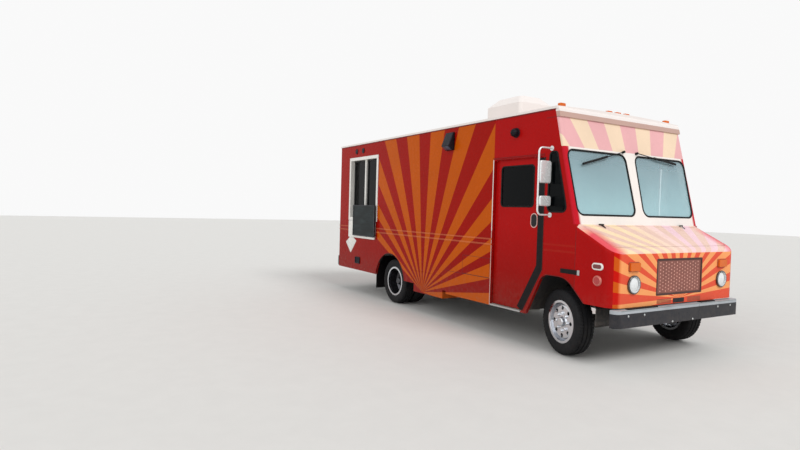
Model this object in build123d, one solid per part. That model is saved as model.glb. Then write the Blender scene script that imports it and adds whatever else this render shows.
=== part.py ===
from build123d import *
import math
import os

os.makedirs("parts", exist_ok=True)

# Millimetres. X runs forward, Y to the driver's left and Z up. The origin is on the ground
# under the middle of the vehicle. The serving side is the right one, at negative Y.

# Body shell
HALF_WIDTH = 1180.0
WALL = 40.0
FACE_X = 3503.0
REAR_X = -3460.0
REAR_AXLE_X = -1226.0
WALL_TOP_Z = 2950.0
SIDE_BOTTOM_Z = 455.0
SILL_BOTTOM_Z = 408.0
FLOOR_TOP_Z = 840.0
FLOOR_THICKNESS = 40.0
SEAT_GAP = 0.3
MOVING_GAP = 6.0
# how far a cut runs past what it cuts
CUT = 20.0

# Windscreen plane: it leans back from the cowl
COWL_X = FACE_X - 535.0
COWL_Z = 1572.0
RAKE = math.radians(13.9)
HEADER_TOP_Z = WALL_TOP_Z - 100.0

# Windscreen panes: inner and outer edge across the vehicle, at the bottom and at the top
PANE_BOTTOM_Z = 1685.0
PANE_TOP_Z = HEADER_TOP_Z - 395.0
PANE_BOTTOM_INNER = 80.0
PANE_BOTTOM_OUTER = HALF_WIDTH - 60.0
PANE_TOP_INNER = 97.0
PANE_TOP_OUTER = HALF_WIDTH - 40.0
PANE_CORNER = 95.0
GLASS_THICKNESS = 8.0
GLASS_INSET = 8.0

# Quarter windows: X, Z, corner radius
QUARTER_BOTTOM_Z = PANE_BOTTOM_Z + 27.0
QUARTER_TOP_Z = PANE_TOP_Z - 23.0
QUARTER_WINDOW = [
    (COWL_X - 461.0, QUARTER_BOTTOM_Z, 60.0), (COWL_X - 440.0, QUARTER_TOP_Z, 50.0),
    (COWL_X - 328.0, QUARTER_TOP_Z, 45.0), (COWL_X - 150.0, QUARTER_BOTTOM_Z, 60.0),
]

# Nose
FACE_TOP_Z = 1298.0
FACE_BOTTOM_Z = 680.0
NOSE_WALL = 30.0
NOSE_CORNER = 150.0
NOSE_EDGE = 70.0
HOOD_THICKNESS = 22.0
HOOD_HALF_WIDTH = HALF_WIDTH - 85.0
HOOD_REAR_X = COWL_X + 36.0
HOOD_FRONT_X = FACE_X - 83.0
HOOD_CORNER = 70.0
HOOD_LEDGE = 40.0
HOOD_LEDGE_THICKNESS = 8.0
HOOD_LEDGE_LAP = 12.0
HOOD_REAR_CORNER = 12.0
HOOD_HINGE_Y = 777.0
HOOD_AXIS_X = COWL_X + 20.0
HOOD_AXIS_LIFT = 12.0

# Grille: a plate with staggered diamond holes
GRILLE_HALF_WIDTH = 434.0
GRILLE_BOTTOM_Z = 792.0
GRILLE_TOP_Z = 1200.0
GRILLE_THICKNESS = 12.0
GRILLE_PITCH_Y = 104.0
GRILLE_PITCH_Z = 41.0
GRILLE_HOLE_WIDTH = 27.0
GRILLE_HOLE_HEIGHT = 25.0
GRILLE_RIM = 14.0

# Lamps on the nose
HEADLAMP_Y = HALF_WIDTH - 333.0
HEADLAMP_Z = 930.0
HEADLAMP_RADIUS = 105.0
HEADLAMP_LENS_RADIUS = 88.0
HEADLAMP_PROUD = 22.0
BEZEL_LIP = 10.0
LENS_DOME = 26.0
SIGNAL_Y = HALF_WIDTH - 329.0
SIGNAL_Z = 1128.0
SIGNAL_WIDTH = 165.0
SIGNAL_HEIGHT = 90.0
SIGNAL_DEPTH = 28.0
SIGNAL_CORNER = 12.0
FENDER_LAMP_X = FACE_X - 210.0
FENDER_OVAL_Z = 1119.0
FENDER_OVAL_LENGTH = 134.0
FENDER_OVAL_HEIGHT = 65.0
FENDER_ROUND_Z = 962.0
FENDER_ROUND_RADIUS = 50.0
FENDER_LAMP_DEPTH = 16.0

# Bumpers
BUMPER_FRONT_X = FACE_X + 57.0
BUMPER_REAR_X = REAR_X - 100.0
BUMPER_BOTTOM_Z = 472.0
BUMPER_TOP_Z = 667.0
BUMPER_DEPTH = 92.0
BUMPER_PLATE = 12.0
BUMPER_CORNER = 70.0
PLATE_HOLE_Z = 570.0
PLATE_HOLE_SPACING = 178.0
PLATE_HOLE_RADIUS = 3.5

# Cab door opening and the sliding door behind it
DOOR_FRONT_X = COWL_X - 536.0
DOOR_REAR_X = DOOR_FRONT_X - 938.0
SILL_REAR_X = DOOR_REAR_X - 1044.0
DOOR_TOP_Z = WALL_TOP_Z - 560.0
DOOR_KNEE_Z = 1000.0
DOOR_FOOT_X = DOOR_FRONT_X - 340.0
DOOR_CORNER = 40.0
DOOR_GAP_Y = 8.0
DOOR_THICKNESS = 35.0
DOOR_LAP = 14.0
DOOR_FOOT_Z = 434.0
DOOR_FRONT_GAP = 7.0
DOOR_WINDOW_REAR_X = DOOR_REAR_X + 115.0
DOOR_WINDOW_FRONT_X = DOOR_FRONT_X - 215.0
DOOR_WINDOW_BOTTOM_Z = 1770.0
DOOR_WINDOW_TOP_Z = DOOR_TOP_Z - 95.0
DOOR_WINDOW_CORNER = 45.0
DOOR_TRAVEL = 850.0
DOOR_HANGERS_X = [DOOR_REAR_X + 106.0, DOOR_FRONT_X - 112.0]
DOOR_HANGER_LENGTH = 90.0
POCKET_GAP = 12.0
POCKET_PANEL = 10.0
POCKET_END_GAP = 20.0
POCKET_RISE = 110.0
STEP_TOP_Z = 426.0
STEP_THICKNESS = 18.0
STEP_INNER_Y = 830.0
STEP_PANEL = 12.0

# Skirt boxes hung in the side walls
BOX_REAR_X = REAR_AXLE_X + 752.0
BOX_FRONT_X = SILL_REAR_X - 93.0
BOX_BOTTOM_Z = 320.0
BOX_TOP_Z = 676.0
BOX_DEPTH = 420.0
BOX_EDGE = 4.0

# Belt rails on the side walls: bottom and top of each rib
BELT_RIBS = [(1232.0, 1254.0), (1303.0, 1325.0)]
BELT_PROUD = 7.0

# Serving window, shelf and menu board
WINDOW_REAR_X = REAR_X + 432.0
WINDOW_FRONT_X = WINDOW_REAR_X + 1215.0
WINDOW_BOTTOM_Z = 1443.0
WINDOW_TOP_Z = WALL_TOP_Z - 247.0
WINDOW_FACE = 60.0
WINDOW_LAP = 30.0
WINDOW_PROUD = 10.0
WINDOW_DEPTH = 135.0
WINDOW_MULLION = 50.0
PANE_RECESS = 96.0
SHELF_REAR_X = WINDOW_REAR_X + 55.0
SHELF_FRONT_X = WINDOW_FRONT_X - 50.0
SHELF_BOTTOM_Z = 1100.0
SHELF_TOP_Z = WINDOW_BOTTOM_Z - 8.0
SHELF_THICKNESS = 24.0
BOARD_REAR_X = WINDOW_REAR_X + 295.0
BOARD_FRONT_X = WINDOW_FRONT_X - 15.0
BOARD_BOTTOM_Z = 1144.0
BOARD_TOP_Z = 1750.0
BOARD_THICKNESS = 22.0

# Roof
ROOF_EDGE = 30.0
ROOF_CROWN = 28.0
ROOF_LAP = 14.0
ROOF_LIP = 16.0
VENT_X = 1045.0
VENT_Y = -350.0
VENT_LENGTH = 760.0
VENT_WIDTH = 640.0
VENT_TOP_Z = WALL_TOP_Z + 440.0
VENT_TAPER = 120.0
MARKER_ROW_Y = [-HALF_WIDTH + 150.0, -170.0, 0.0, 170.0, HALF_WIDTH - 150.0]
MARKER_LENGTH = 60.0
MARKER_WIDTH = 95.0
MARKER_HEIGHT = 38.0
MARKER_SUNK = 20.0
MARKER_X = COWL_X - 428.0

# Rear doors
REAR_DOOR_HALF = 760.0
REAR_DOOR_BOTTOM_Z = 850.0
REAR_DOOR_TOP_Z = WALL_TOP_Z - 300.0
REAR_FRAME_BOTTOM_Z = 746.0
REAR_WINDOW_BOTTOM_Z = 1750.0
REAR_WINDOW_TOP_Z = REAR_DOOR_TOP_Z - 300.0
REAR_WINDOW_MARGIN = 150.0
REAR_AXIS_OUT = 14.0
REAR_AXIS_SIDE = 3.0
REAR_HINGE_ROWS = [REAR_DOOR_BOTTOM_Z + 200.0, 1750.0, REAR_DOOR_TOP_Z - 200.0]
HINGE_PIN = 4.0
HINGE_BARREL = 9.0
HINGE_KNUCKLE = 26.0
HINGE_LEAF = 46.0
HINGE_LEAF_THICKNESS = 5.0

# Wheels
WHEEL_RADIUS = 395.0
FRONT_AXLE_X = COWL_X - 206.0
FRONT_TRACK_Y = 1010.0
REAR_OUTER_Y = 1010.0
REAR_INNER_Y = 755.0
TYRE_HALF_WIDTH = 112.5
TREAD_HALF_WIDTH = 94.0
TYRE_BEAD_HALF_WIDTH = 72.0
BEAD_HALF_WIDTH = 84.0
BEAD_RADIUS = 240.0
SIDEWALL_RADIUS = 325.0
RIM_HALF_WIDTH = 96.0
RIM_FLANGE_RADIUS = 258.0
RIM_THICKNESS = 12.0
DISC_THICKNESS = 12.0
HUB_RADIUS = 70.0
HUB_BORE = 45.3
HUB_CHAMFER = 18.0
FRONT_DISC_OUT = 60.0
FRONT_DISC_ROOT = 20.0
FRONT_HUB_OUT = 40.0
FRONT_HUB_CAP = 72.0
REAR_DISC_ROOT = 80.0
REAR_HUB_CAP = 40.0
HAND_HOLES = 8
HAND_HOLE_RADIUS = 24.0
HAND_HOLE_CIRCLE = 165.0
STUDS = 8
STUD_CIRCLE = 105.0
STUD_RADIUS = 11.0
STUD_LENGTH = 26.0
DRUM_RADIUS = 188.0
RUNNING_GAP = 0.3
# The front wheels stand turned to the right, in degrees about the kingpins
WHEELS_TURNED = -13.0
STEERING_RATIO = 12.0

# Wheel arches
FRONT_ARCH_TOP_Z = 944.0
ARCH_REAR_FOOT = (FRONT_AXLE_X - 594.0, 360.0, 0.0)
ARCH_REAR_TOP = (FRONT_AXLE_X - 300.0, FRONT_ARCH_TOP_Z, 160.0)
FRONT_ARCH = [
    ARCH_REAR_FOOT, ARCH_REAR_TOP, (FRONT_AXLE_X + 83.0, FRONT_ARCH_TOP_Z, 300.0),
    (FRONT_AXLE_X + 384.0, 649.0, 0.0), (FRONT_AXLE_X + 384.0, 360.0, 0.0),
]
FRONT_WELL = [
    ARCH_REAR_FOOT, ARCH_REAR_TOP, (FRONT_AXLE_X + 143.0, FRONT_ARCH_TOP_Z, 300.0),
    (FRONT_AXLE_X + 488.0, 640.0, 0.0), (FRONT_AXLE_X + 488.0, 360.0, 0.0),
]
FRONT_WELL_INNER_Y = 640.0
REAR_ARCH_X = REAR_AXLE_X - 76.0
REAR_ARCH_Z = 361.0
REAR_ARCH_RADIUS = 528.0
REAR_WELL_REAR_X = REAR_AXLE_X - 624.0
REAR_WELL_FRONT_X = REAR_AXLE_X + 586.0
REAR_WELL_INNER_Y = 600.0
REAR_WELL_TOP_Z = 932.0
WELL_SHEET = 12.0
WELL_CUT_REACH = 900.0

# Chassis
RAIL_Y = 433.0
RAIL_FLANGE = 75.0
RAIL_WEB = 8.0
RAIL_BOTTOM_Z = 520.0
RAIL_TOP_Z = 740.0
CROSS_MEMBERS_X = [
    REAR_X + 160.0, REAR_X + 1160.0, REAR_AXLE_X - 524.0, REAR_AXLE_X + 526.0, 300.0,
    DOOR_REAR_X - 194.0, DOOR_FRONT_X - 432.0, FACE_X - 123.0,
]
CROSS_MEMBER_WIDTH = 70.0
CROSS_MEMBER_HEIGHT = 120.0
BEARERS_X = [
    REAR_X + 160.0, REAR_X + 860.0, REAR_AXLE_X - 724.0, REAR_AXLE_X + 776.0, 250.0, DOOR_REAR_X - 544.0,
    DOOR_REAR_X - 94.0, DOOR_FRONT_X - 282.0,
]
BEARER_WIDTH = 60.0
KINGPIN_Y = 870.0
KINGPIN_RADIUS = 20.0
BEAM_EYE = 38.0
BEAM_HALF = 45.0
YOKE_RADIUS = 34.0
YOKE_EAR = 30.0
YOKE_PLATE = 24.0
YOKE_HALF_LENGTH = 60.0
ARM_HALF_WIDTH = 12.0
STEER_ARM = 170.0
STEER_PIN = 9.0
OPEN_PIVOT_GAP = 1.5
ROD_RADIUS = 15.0
SPRING_WIDTH = 70.0
SPRING_LEAF = 16.0
FRONT_SPRING_Y = 505.0
FRONT_SPRING_HALF = 520.0
REAR_SPRING_Y = 510.0
REAR_SPRING_HALF = 650.0
SPRING_RISE = 60.0
HANGER_LENGTH = 70.0
AXLE_TUBE = 58.0
BACKING_Y = 640.0
SHAFT_RADIUS = 38.0
AXLE_BANJO = 180.0
BANJO_HALF_WIDTH = 120.0
BANJO_FLAT = 60.0
PINION_LENGTH = 260.0
PINION_RADIUS = 55.0
PINION_RISE = 20.0

# Engine, cover and cab
ENGINE_REAR_X = COWL_X - 638.0
ENGINE_FRONT_X = FACE_X - 323.0
ENGINE_HALF_WIDTH = 320.0
ENGINE_BOTTOM_Z = 480.0
ENGINE_TOP_Z = 1225.0
COVER_REAR_X = COWL_X - 738.0
COVER_HALF_WIDTH = 400.0
COVER_TOP_Z = 1320.0
COVER_SHEET = 16.0
COVER_CORNER = 50.0
DASH_REAR_X = COWL_X - 348.0
DASH_BOTTOM_Z = 1340.0
DASH_TOP_Z = 1560.0
DASH_HALF_WIDTH = HALF_WIDTH - 120.0
DASH_LEAN = 40.0
DASH_CORNERS = (30.0, 40.0)
DRIVER_Y = 520.0
SEAT_FRONT_X = COWL_X - 828.0
SEAT_REAR_X = SEAT_FRONT_X - 500.0
SEAT_WIDTH = 480.0
SEAT_TOP_Z = 1370.0
SEAT_CUSHION = 110.0
SEAT_BACK_TOP_Z = 2010.0
SEAT_BACK_LEAN = 60.0
SEAT_BACK_THICKNESS = 100.0
SEAT_CORNER = 40.0
SEAT_EDGE = 20.0
SEAT_FOOT_INSET = 90.0
SEAT_FOOT_WIDTH = 300.0
WHEEL_CENTRE_X = COWL_X - 638.0
WHEEL_CENTRE_Z = 1610.0
STEERING_WHEEL_RADIUS = 225.0
STEERING_GRIP = 14.0
COLUMN_TILT = 34.0
COLUMN_RADIUS = 24.0
COLUMN_SHAFT = 12.0
COLUMN_NECK = 60.0
HORN_RADIUS = 48.0
HORN_HEIGHT = 60.0
HORN_DROP = 25.0
SPOKES = 3
SPOKE_WIDTH = 30.0
SPOKE_THICKNESS = 14.0
SPOKE_DROP = 8.0

# Wipers: root and tip across the vehicle, and how far the tip hangs below the root
WIPER_Z = PANE_TOP_Z + 35.0
WIPERS = [(-130.0, -912.0, 200.0), (130.0, 912.0, 90.0)]
WIPER_BOSS = 16.0
WIPER_REACH = 34.0
WIPER_ARM = 6.0
WIPER_BLADE = 9.0
WIPER_LIFT = 18.0

# Fittings on the serving side: round vents (X, Z, radius), boxes (X, Z, length, height, depth)
VENT_ROW_Z = WALL_TOP_Z - 128.0
ROUND_VENTS = [(WINDOW_REAR_X + 293.0, VENT_ROW_Z, 52.0), (WINDOW_REAR_X + 579.0, VENT_ROW_Z, 52.0)]
ROUND_VENT_DEPTH = 14.0
WALL_BOXES = [
    (WINDOW_REAR_X + 447.0, 650.0, 200.0, 130.0, 20.0),
    (475.0, WALL_TOP_Z - 210.0, 190.0, 270.0, 120.0),
    (DOOR_REAR_X + 426.0, WALL_TOP_Z - 226.0, 130.0, 150.0, 90.0),
]
WALL_BOX_CORNER = 14.0

# Tail lamps: heights of the three pairs
TAIL_LAMP_ROWS = [1000.0, 1110.0, WALL_TOP_Z - 170.0]
TAIL_LAMP_Y = HALF_WIDTH - 220.0
TAIL_LAMP_RADIUS = 48.0
TAIL_LAMP_DEPTH = 12.0

# Mud flaps
FLAP_THICKNESS = 8.0
FLAP_BOTTOM_Z = 190.0

# Fuel tank on the right rail, between the skirt box and the step well
TANK_REAR_X = BOX_FRONT_X + 143.0
TANK_FRONT_X = DOOR_REAR_X - 294.0
TANK_OUTER_Y = HALF_WIDTH - 120.0
TANK_GAP = 10.0
TANK_BOTTOM_Z = 430.0
TANK_TOP_Z = 730.0
TANK_CORNER = 60.0
TANK_STRAP = 40.0
TANK_STRAP_INSET = 120.0

# Exhaust on the left: front pipe, muffler, tail pipe out to the side
EXHAUST_Y = 690.0
EXHAUST_Z = 560.0
PIPE_RADIUS = 32.0
PIPE_FRONT_X = DOOR_FRONT_X - 232.0
MUFFLER_FRONT_X = DOOR_REAR_X + 206.0
MUFFLER_REAR_X = BOX_FRONT_X + 343.0
MUFFLER_RADIUS = 110.0
TAILPIPE_X = BOX_FRONT_X + 63.0
TAILPIPE_END_Y = HALF_WIDTH - 30.0
TAILPIPE_END_Z = 360.0
MUFFLER_HANGER = 30.0

# Worktops in the load space
COUNTER_REAR_X = REAR_X + 160.0
COUNTER_FRONT_X = 200.0
COUNTER_GAP = 20.0
COUNTER_INNER_Y = 560.0
COUNTER_FOOT_Y = 600.0
COUNTER_FOOT_Z = 960.0
COUNTER_TOP_Z = 1740.0
SERVING_COUNTER_Y = -720.0
SERVING_COUNTER_TOP_Z = 1430.0

# Mirrors
MIRROR_X = COWL_X - 411.0
MIRROR_TOP_Z = PANE_TOP_Z + 20.0
MIRROR_BOTTOM_Z = PANE_BOTTOM_Z - 15.0
MIRROR_REACH = 215.0
MIRROR_TUBE = 11.0
MIRROR_BEND = 60.0
MIRROR_FOOT = 30.0
MIRROR_WIDTH = 185.0
MIRROR_CORNER = 30.0
MIRROR_ROUND = 14.0
# bottom, top and depth of each head
MIRROR_HEADS = [
    (MIRROR_TOP_Z - 425.0, MIRROR_TOP_Z - 155.0, 42.0),
    (MIRROR_BOTTOM_Z + 105.0, MIRROR_BOTTOM_Z + 228.0, 60.0),
]


def outline(points):
    """A closed face through (u, v, corner radius) points, where each corner is an arc."""
    corners = []
    count = len(points)
    for index, (u, v, radius) in enumerate(points):
        corner = Vector(u, v)
        if radius == 0:
            corners.append((corner, None, corner))
            continue
        before = (Vector(*points[index - 1][:2]) - corner).normalized()
        after = (Vector(*points[(index + 1) % count][:2]) - corner).normalized()
        half = math.radians(before.get_angle(after)) / 2
        middle = corner + (before + after).normalized() * (radius / math.sin(half) - radius)
        reach = radius / math.tan(half)
        corners.append((corner + before * reach, middle, corner + after * reach))
    edges = []
    for index, (start, middle, stop) in enumerate(corners):
        if middle is not None:
            edges.append(Edge.make_three_point_arc(start, middle, stop))
        edges.append(Edge.make_line(stop, corners[(index + 1) % count][0]))
    return Face(Wire(edges))


def inset(points, gap):
    """The face of an outline, drawn in by a gap on all sides."""
    return offset(outline(points), -gap)


def slab(axis, points, low, high):
    """An outline made solid along an axis: (Y, Z) points for X, (X, Z) for Y, (X, Y) for Z."""
    plane, direction = {
        "X": (Plane.YZ, Vector(1, 0, 0)), "Y": (Plane.XZ, Vector(0, 1, 0)),
        "Z": (Plane.XY, Vector(0, 0, 1)),
    }[axis]
    solid = extrude(plane * outline(points), amount=high - low, dir=direction)
    return Pos(*(direction * low)) * solid


def block(x, y, z):
    """A box between two values on each axis."""
    size = [abs(pair[1] - pair[0]) for pair in (x, y, z)]
    return Pos(*[(pair[0] + pair[1]) / 2 for pair in (x, y, z)]) * Box(*size)


def rectangle(u, v, radius=0.0):
    """The outline points of a rectangle with equal corners."""
    return [(u[0], v[0], radius), (u[0], v[1], radius), (u[1], v[1], radius), (u[1], v[0], radius)]


def rod(start, stop, radius):
    """A round bar between two points."""
    start, stop = Vector(*start), Vector(*stop)
    length = (stop - start).length
    return Plane(start, z_dir=stop - start) * Pos(0, 0, length / 2) * Cylinder(radius, length)


def turned(points, centre):
    """A (Y, radius) outline turned about a line along Y through the centre."""
    ring = revolve(Plane.YZ * outline(points), axis=Axis((0, 0, 0), (0, 1, 0)))
    return Pos(*centre) * ring


def left(shape):
    return mirror(shape, about=Plane.XZ)


def both(shape):
    return [shape, left(shape)]


def side(shape, hand):
    """A shape drawn on the right, on the side that the sign names: -1 right, 1 left."""
    return shape if hand < 0 else left(shape)


def rake_x(z):
    """The windscreen plane's place at a height."""
    return COWL_X - (z - COWL_Z) * math.tan(RAKE)


def hood_z(x):
    """The hood's height at a place along the vehicle."""
    return COWL_Z - (x - COWL_X) * (COWL_Z - FACE_TOP_Z) / (FACE_X - COWL_X)


INNER = HALF_WIDTH - WALL
WIND_DEPTH = WALL / math.cos(RAKE)
FLOOR_BOTTOM_Z = FLOOR_TOP_Z - FLOOR_THICKNESS
FIREWALL_X = COWL_X - WALL
HOOD_PITCH = math.atan2(COWL_Z - FACE_TOP_Z, FACE_X - COWL_X)
DOOR_FOOT_SLOPE = (DOOR_FRONT_X - DOOR_FOOT_X) / (DOOR_KNEE_Z - SILL_BOTTOM_Z)
NODES = {}


def add(name, *solids):
    NODES[name] = list(solids)


# Side walls
front_arch = slab("Y", FRONT_ARCH, -HALF_WIDTH - CUT, -INNER + CUT)
wall_outline = [
    (REAR_X, SIDE_BOTTOM_Z, 0), (REAR_X, WALL_TOP_Z, 0),
    (rake_x(WALL_TOP_Z) - WIND_DEPTH, WALL_TOP_Z, 0), (COWL_X - WIND_DEPTH, COWL_Z, 0),
    (COWL_X, COWL_Z, 0), (COWL_X, SILL_BOTTOM_Z, 0),
    (SILL_REAR_X, SILL_BOTTOM_Z, 0), (SILL_REAR_X, SIDE_BOTTOM_Z, 0),
]
door_opening = [
    (DOOR_REAR_X, SILL_BOTTOM_Z - CUT, 0), (DOOR_REAR_X, DOOR_TOP_Z, DOOR_CORNER),
    (DOOR_FRONT_X, DOOR_TOP_Z, DOOR_CORNER), (DOOR_FRONT_X, DOOR_KNEE_Z, DOOR_CORNER),
    (DOOR_FOOT_X - CUT * DOOR_FOOT_SLOPE, SILL_BOTTOM_Z - CUT, 0),
]
side_wall = slab("Y", wall_outline, -HALF_WIDTH, -INNER)
for bottom, top in BELT_RIBS:
    rib = rectangle((REAR_X, DOOR_REAR_X), (bottom, top))
    side_wall += slab("Y", rib, -HALF_WIDTH - BELT_PROUD, -HALF_WIDTH)
side_wall -= front_arch
side_wall -= slab("Y", door_opening, -HALF_WIDTH - CUT, -INNER + CUT)
side_wall -= slab("Y", QUARTER_WINDOW, -HALF_WIDTH - CUT, -INNER + CUT)
side_wall -= Pos(REAR_ARCH_X, -HALF_WIDTH, REAR_ARCH_Z) * Rot(90, 0, 0) * Cylinder(REAR_ARCH_RADIUS, 200)
side_wall -= block((BOX_REAR_X, BOX_FRONT_X), (-HALF_WIDTH - CUT, -INNER + CUT), (0, BOX_TOP_Z))
serving_hole = rectangle(
    (WINDOW_REAR_X + WINDOW_LAP, WINDOW_FRONT_X - WINDOW_LAP),
    (WINDOW_BOTTOM_Z + WINDOW_LAP, WINDOW_TOP_Z - WINDOW_LAP),
)
add("side_wall_right", side_wall - slab("Y", serving_hole, -HALF_WIDTH - CUT, -INNER + CUT))
add("side_wall_left", left(side_wall))

# Rear frame round the double doors
rear_frame = slab("X", rectangle((-INNER, INNER), (REAR_FRAME_BOTTOM_Z, WALL_TOP_Z)), REAR_X, REAR_X + WALL)
rear_opening = rectangle((-REAR_DOOR_HALF, REAR_DOOR_HALF), (REAR_DOOR_BOTTOM_Z, REAR_DOOR_TOP_Z))
add("rear_frame", rear_frame - slab("X", rear_opening, REAR_X - CUT, REAR_X + WALL + CUT))

# Windscreen frame with its two pane openings, drawn in the raked plane
rake_plane = Plane(
    (COWL_X, 0, COWL_Z), x_dir=(0, 1, 0), z_dir=(math.cos(RAKE), 0, math.sin(RAKE)),
)


def rake_v(z):
    return (z - COWL_Z) / math.cos(RAKE)


def rake_slab(points, outside, inside):
    """An outline in the raked plane made solid between two depths behind its outer face."""
    face = rake_plane * outline(points)
    return Pos(*(rake_plane.z_dir * -inside)) * extrude(face, amount=inside - outside, dir=rake_plane.z_dir)


def pane_outline(inset):
    return [
        (-PANE_BOTTOM_INNER - inset, rake_v(PANE_BOTTOM_Z) + inset, PANE_CORNER - inset),
        (-PANE_TOP_INNER - inset, rake_v(PANE_TOP_Z) - inset, PANE_CORNER - inset),
        (-PANE_TOP_OUTER + inset, rake_v(PANE_TOP_Z) - inset, PANE_CORNER - inset),
        (-PANE_BOTTOM_OUTER + inset, rake_v(PANE_BOTTOM_Z) + inset, PANE_CORNER - inset),
    ]


wind_frame = slab(
    "Y",
    [
        (COWL_X - WIND_DEPTH, COWL_Z, 0), (COWL_X, COWL_Z, 0),
        (rake_x(HEADER_TOP_Z), HEADER_TOP_Z, 0), (rake_x(HEADER_TOP_Z) - WIND_DEPTH, HEADER_TOP_Z, 0),
    ],
    -HALF_WIDTH, HALF_WIDTH,
)
rake_middle = rake_x((COWL_Z + HEADER_TOP_Z) / 2)
corner_edges = [
    edge for edge in wind_frame.edges()
    if abs(edge.center().X - rake_middle) < 1 and abs(abs(edge.center().Y) - HALF_WIDTH) < 1
]
wind_frame = fillet(corner_edges, WALL - 8)
for pane in both(rake_slab(pane_outline(0), -CUT, WALL + CUT)):
    wind_frame -= pane
add("windshield_frame", wind_frame)
glass = rake_slab(pane_outline(SEAT_GAP), GLASS_INSET, GLASS_INSET + GLASS_THICKNESS)
quarter = extrude(Plane.XZ * inset(QUARTER_WINDOW, SEAT_GAP), amount=GLASS_THICKNESS, dir=(0, 1, 0))
quarter = Pos(0, -HALF_WIDTH + GLASS_INSET, 0) * quarter
add("cab_glass", *both(glass), *both(quarter))

# Firewall below the windscreen frame
firewall = block((FIREWALL_X, COWL_X), (-INNER, INNER), (FLOOR_TOP_Z, COWL_Z))
well_outer = extrude(
    offset(Plane.XZ * outline(FRONT_WELL), WELL_SHEET), amount=INNER - FRONT_WELL_INNER_Y + WELL_SHEET,
    dir=(0, 1, 0),
)
well_outer = Pos(0, -INNER, 0) * well_outer
well_inner = slab("Y", FRONT_WELL, -INNER - CUT, -FRONT_WELL_INNER_Y)
firewall -= block((FIREWALL_X - CUT, COWL_X + CUT), (-COVER_HALF_WIDTH, COVER_HALF_WIDTH), (0, COVER_TOP_Z))
for well in both(well_outer):
    firewall -= well
add("firewall", firewall)

# Nose: one shell with open bottom and back, the hood's ledge and the holes for grille and lamps


def nose_block(inset):
    """The nose's outer form, or its inside at a wall thickness."""
    lift = inset / math.cos(HOOD_PITCH)
    back = COWL_X if inset == 0 else COWL_X - 60
    low = FACE_BOTTOM_Z if inset == 0 else FACE_BOTTOM_Z - 60
    front = FACE_X - inset
    profile = [
        (back, low, 0), (back, hood_z(back) - lift, 0), (front, hood_z(front) - lift, 0), (front, low, 0),
    ]
    body = slab("Y", profile, -HALF_WIDTH + inset, HALF_WIDTH - inset)
    upright = [edge for edge in body.edges().filter_by(Axis.Z) if edge.center().X > front - 1]
    body = fillet(upright, NOSE_CORNER - inset)
    top = body.faces().sort_by(lambda face: face.normal_at().Z)[-1]
    rim = [edge for edge in top.edges() if edge.center().X > back + 1]
    return fillet(rim, NOSE_EDGE - inset)


nose = nose_block(0) - nose_block(NOSE_WALL)
for arch in both(slab("Y", FRONT_ARCH, -HALF_WIDTH - CUT, -FRONT_WELL_INNER_Y)):
    nose -= arch


def hood_slab(grow, top, bottom):
    """The hood's outline, grown on all sides, made solid between two depths under the slope."""
    plane = Plane(
        (COWL_X, 0, COWL_Z), x_dir=(0, 1, 0), z_dir=(math.sin(HOOD_PITCH), 0, math.cos(HOOD_PITCH)),
    )
    near = -(HOOD_REAR_X - COWL_X) / math.cos(HOOD_PITCH) + grow
    far = -(HOOD_FRONT_X - COWL_X) / math.cos(HOOD_PITCH) - grow
    width = HOOD_HALF_WIDTH + grow
    points = [
        (-width, near, HOOD_REAR_CORNER), (-width, far, HOOD_CORNER), (width, far, HOOD_CORNER),
        (width, near, HOOD_REAR_CORNER),
    ]
    face = plane * outline(points)
    return Pos(*(plane.z_dir * -bottom)) * extrude(face, amount=bottom - top, dir=plane.z_dir)


hood = hood_slab(0, 0, HOOD_THICKNESS)
nose -= hood_slab(MOVING_GAP, -30, HOOD_THICKNESS + 60)
ledge_top = HOOD_THICKNESS + MOVING_GAP
ledge = hood_slab(MOVING_GAP + HOOD_LEDGE_LAP, ledge_top, ledge_top + HOOD_LEDGE_THICKNESS)
nose += ledge - hood_slab(-HOOD_LEDGE, ledge_top - CUT, ledge_top + 60)
grille_hole = rectangle((-GRILLE_HALF_WIDTH, GRILLE_HALF_WIDTH), (GRILLE_BOTTOM_Z, GRILLE_TOP_Z))
nose -= slab("X", grille_hole, FACE_X - NOSE_WALL - 40, FACE_X + CUT)
for hand in (-1, 1):
    nose -= Pos(
        FACE_X, hand * HEADLAMP_Y, HEADLAMP_Z,
    ) * Rot(0, 90, 0) * Cylinder(HEADLAMP_RADIUS - BEZEL_LIP, 200)

# Grille
grille = slab("X", rectangle(
    (-GRILLE_HALF_WIDTH + SEAT_GAP, GRILLE_HALF_WIDTH - SEAT_GAP),
    (GRILLE_BOTTOM_Z + SEAT_GAP, GRILLE_TOP_Z - SEAT_GAP)
), FACE_X - GRILLE_THICKNESS - 4, FACE_X - 4)
hole = [
    (0.0, -GRILLE_HOLE_HEIGHT / 2, 0), (GRILLE_HOLE_WIDTH / 2, 0.0, 0),
    (0.0, GRILLE_HOLE_HEIGHT / 2, 0), (-GRILLE_HOLE_WIDTH / 2, 0.0, 0),
]
diamond = slab("X", hole, FACE_X - GRILLE_THICKNESS - CUT, FACE_X + CUT)
rows = int((GRILLE_TOP_Z - GRILLE_BOTTOM_Z - 2 * GRILLE_RIM) / (GRILLE_PITCH_Z / 2))
across = int((GRILLE_HALF_WIDTH - GRILLE_RIM) / GRILLE_PITCH_Y)
holes = []
for row in range(1, rows):
    z = (GRILLE_BOTTOM_Z + GRILLE_TOP_Z) / 2 + (row - rows / 2) * GRILLE_PITCH_Z / 2
    shift = 0.5 if row % 2 else 0.0
    for column in range(-across, across + 1):
        y = (column + shift) * GRILLE_PITCH_Y
        if abs(y) + GRILLE_HOLE_WIDTH / 2 < GRILLE_HALF_WIDTH - GRILLE_RIM:
            holes.append(Pos(0, y, z) * diamond)
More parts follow.
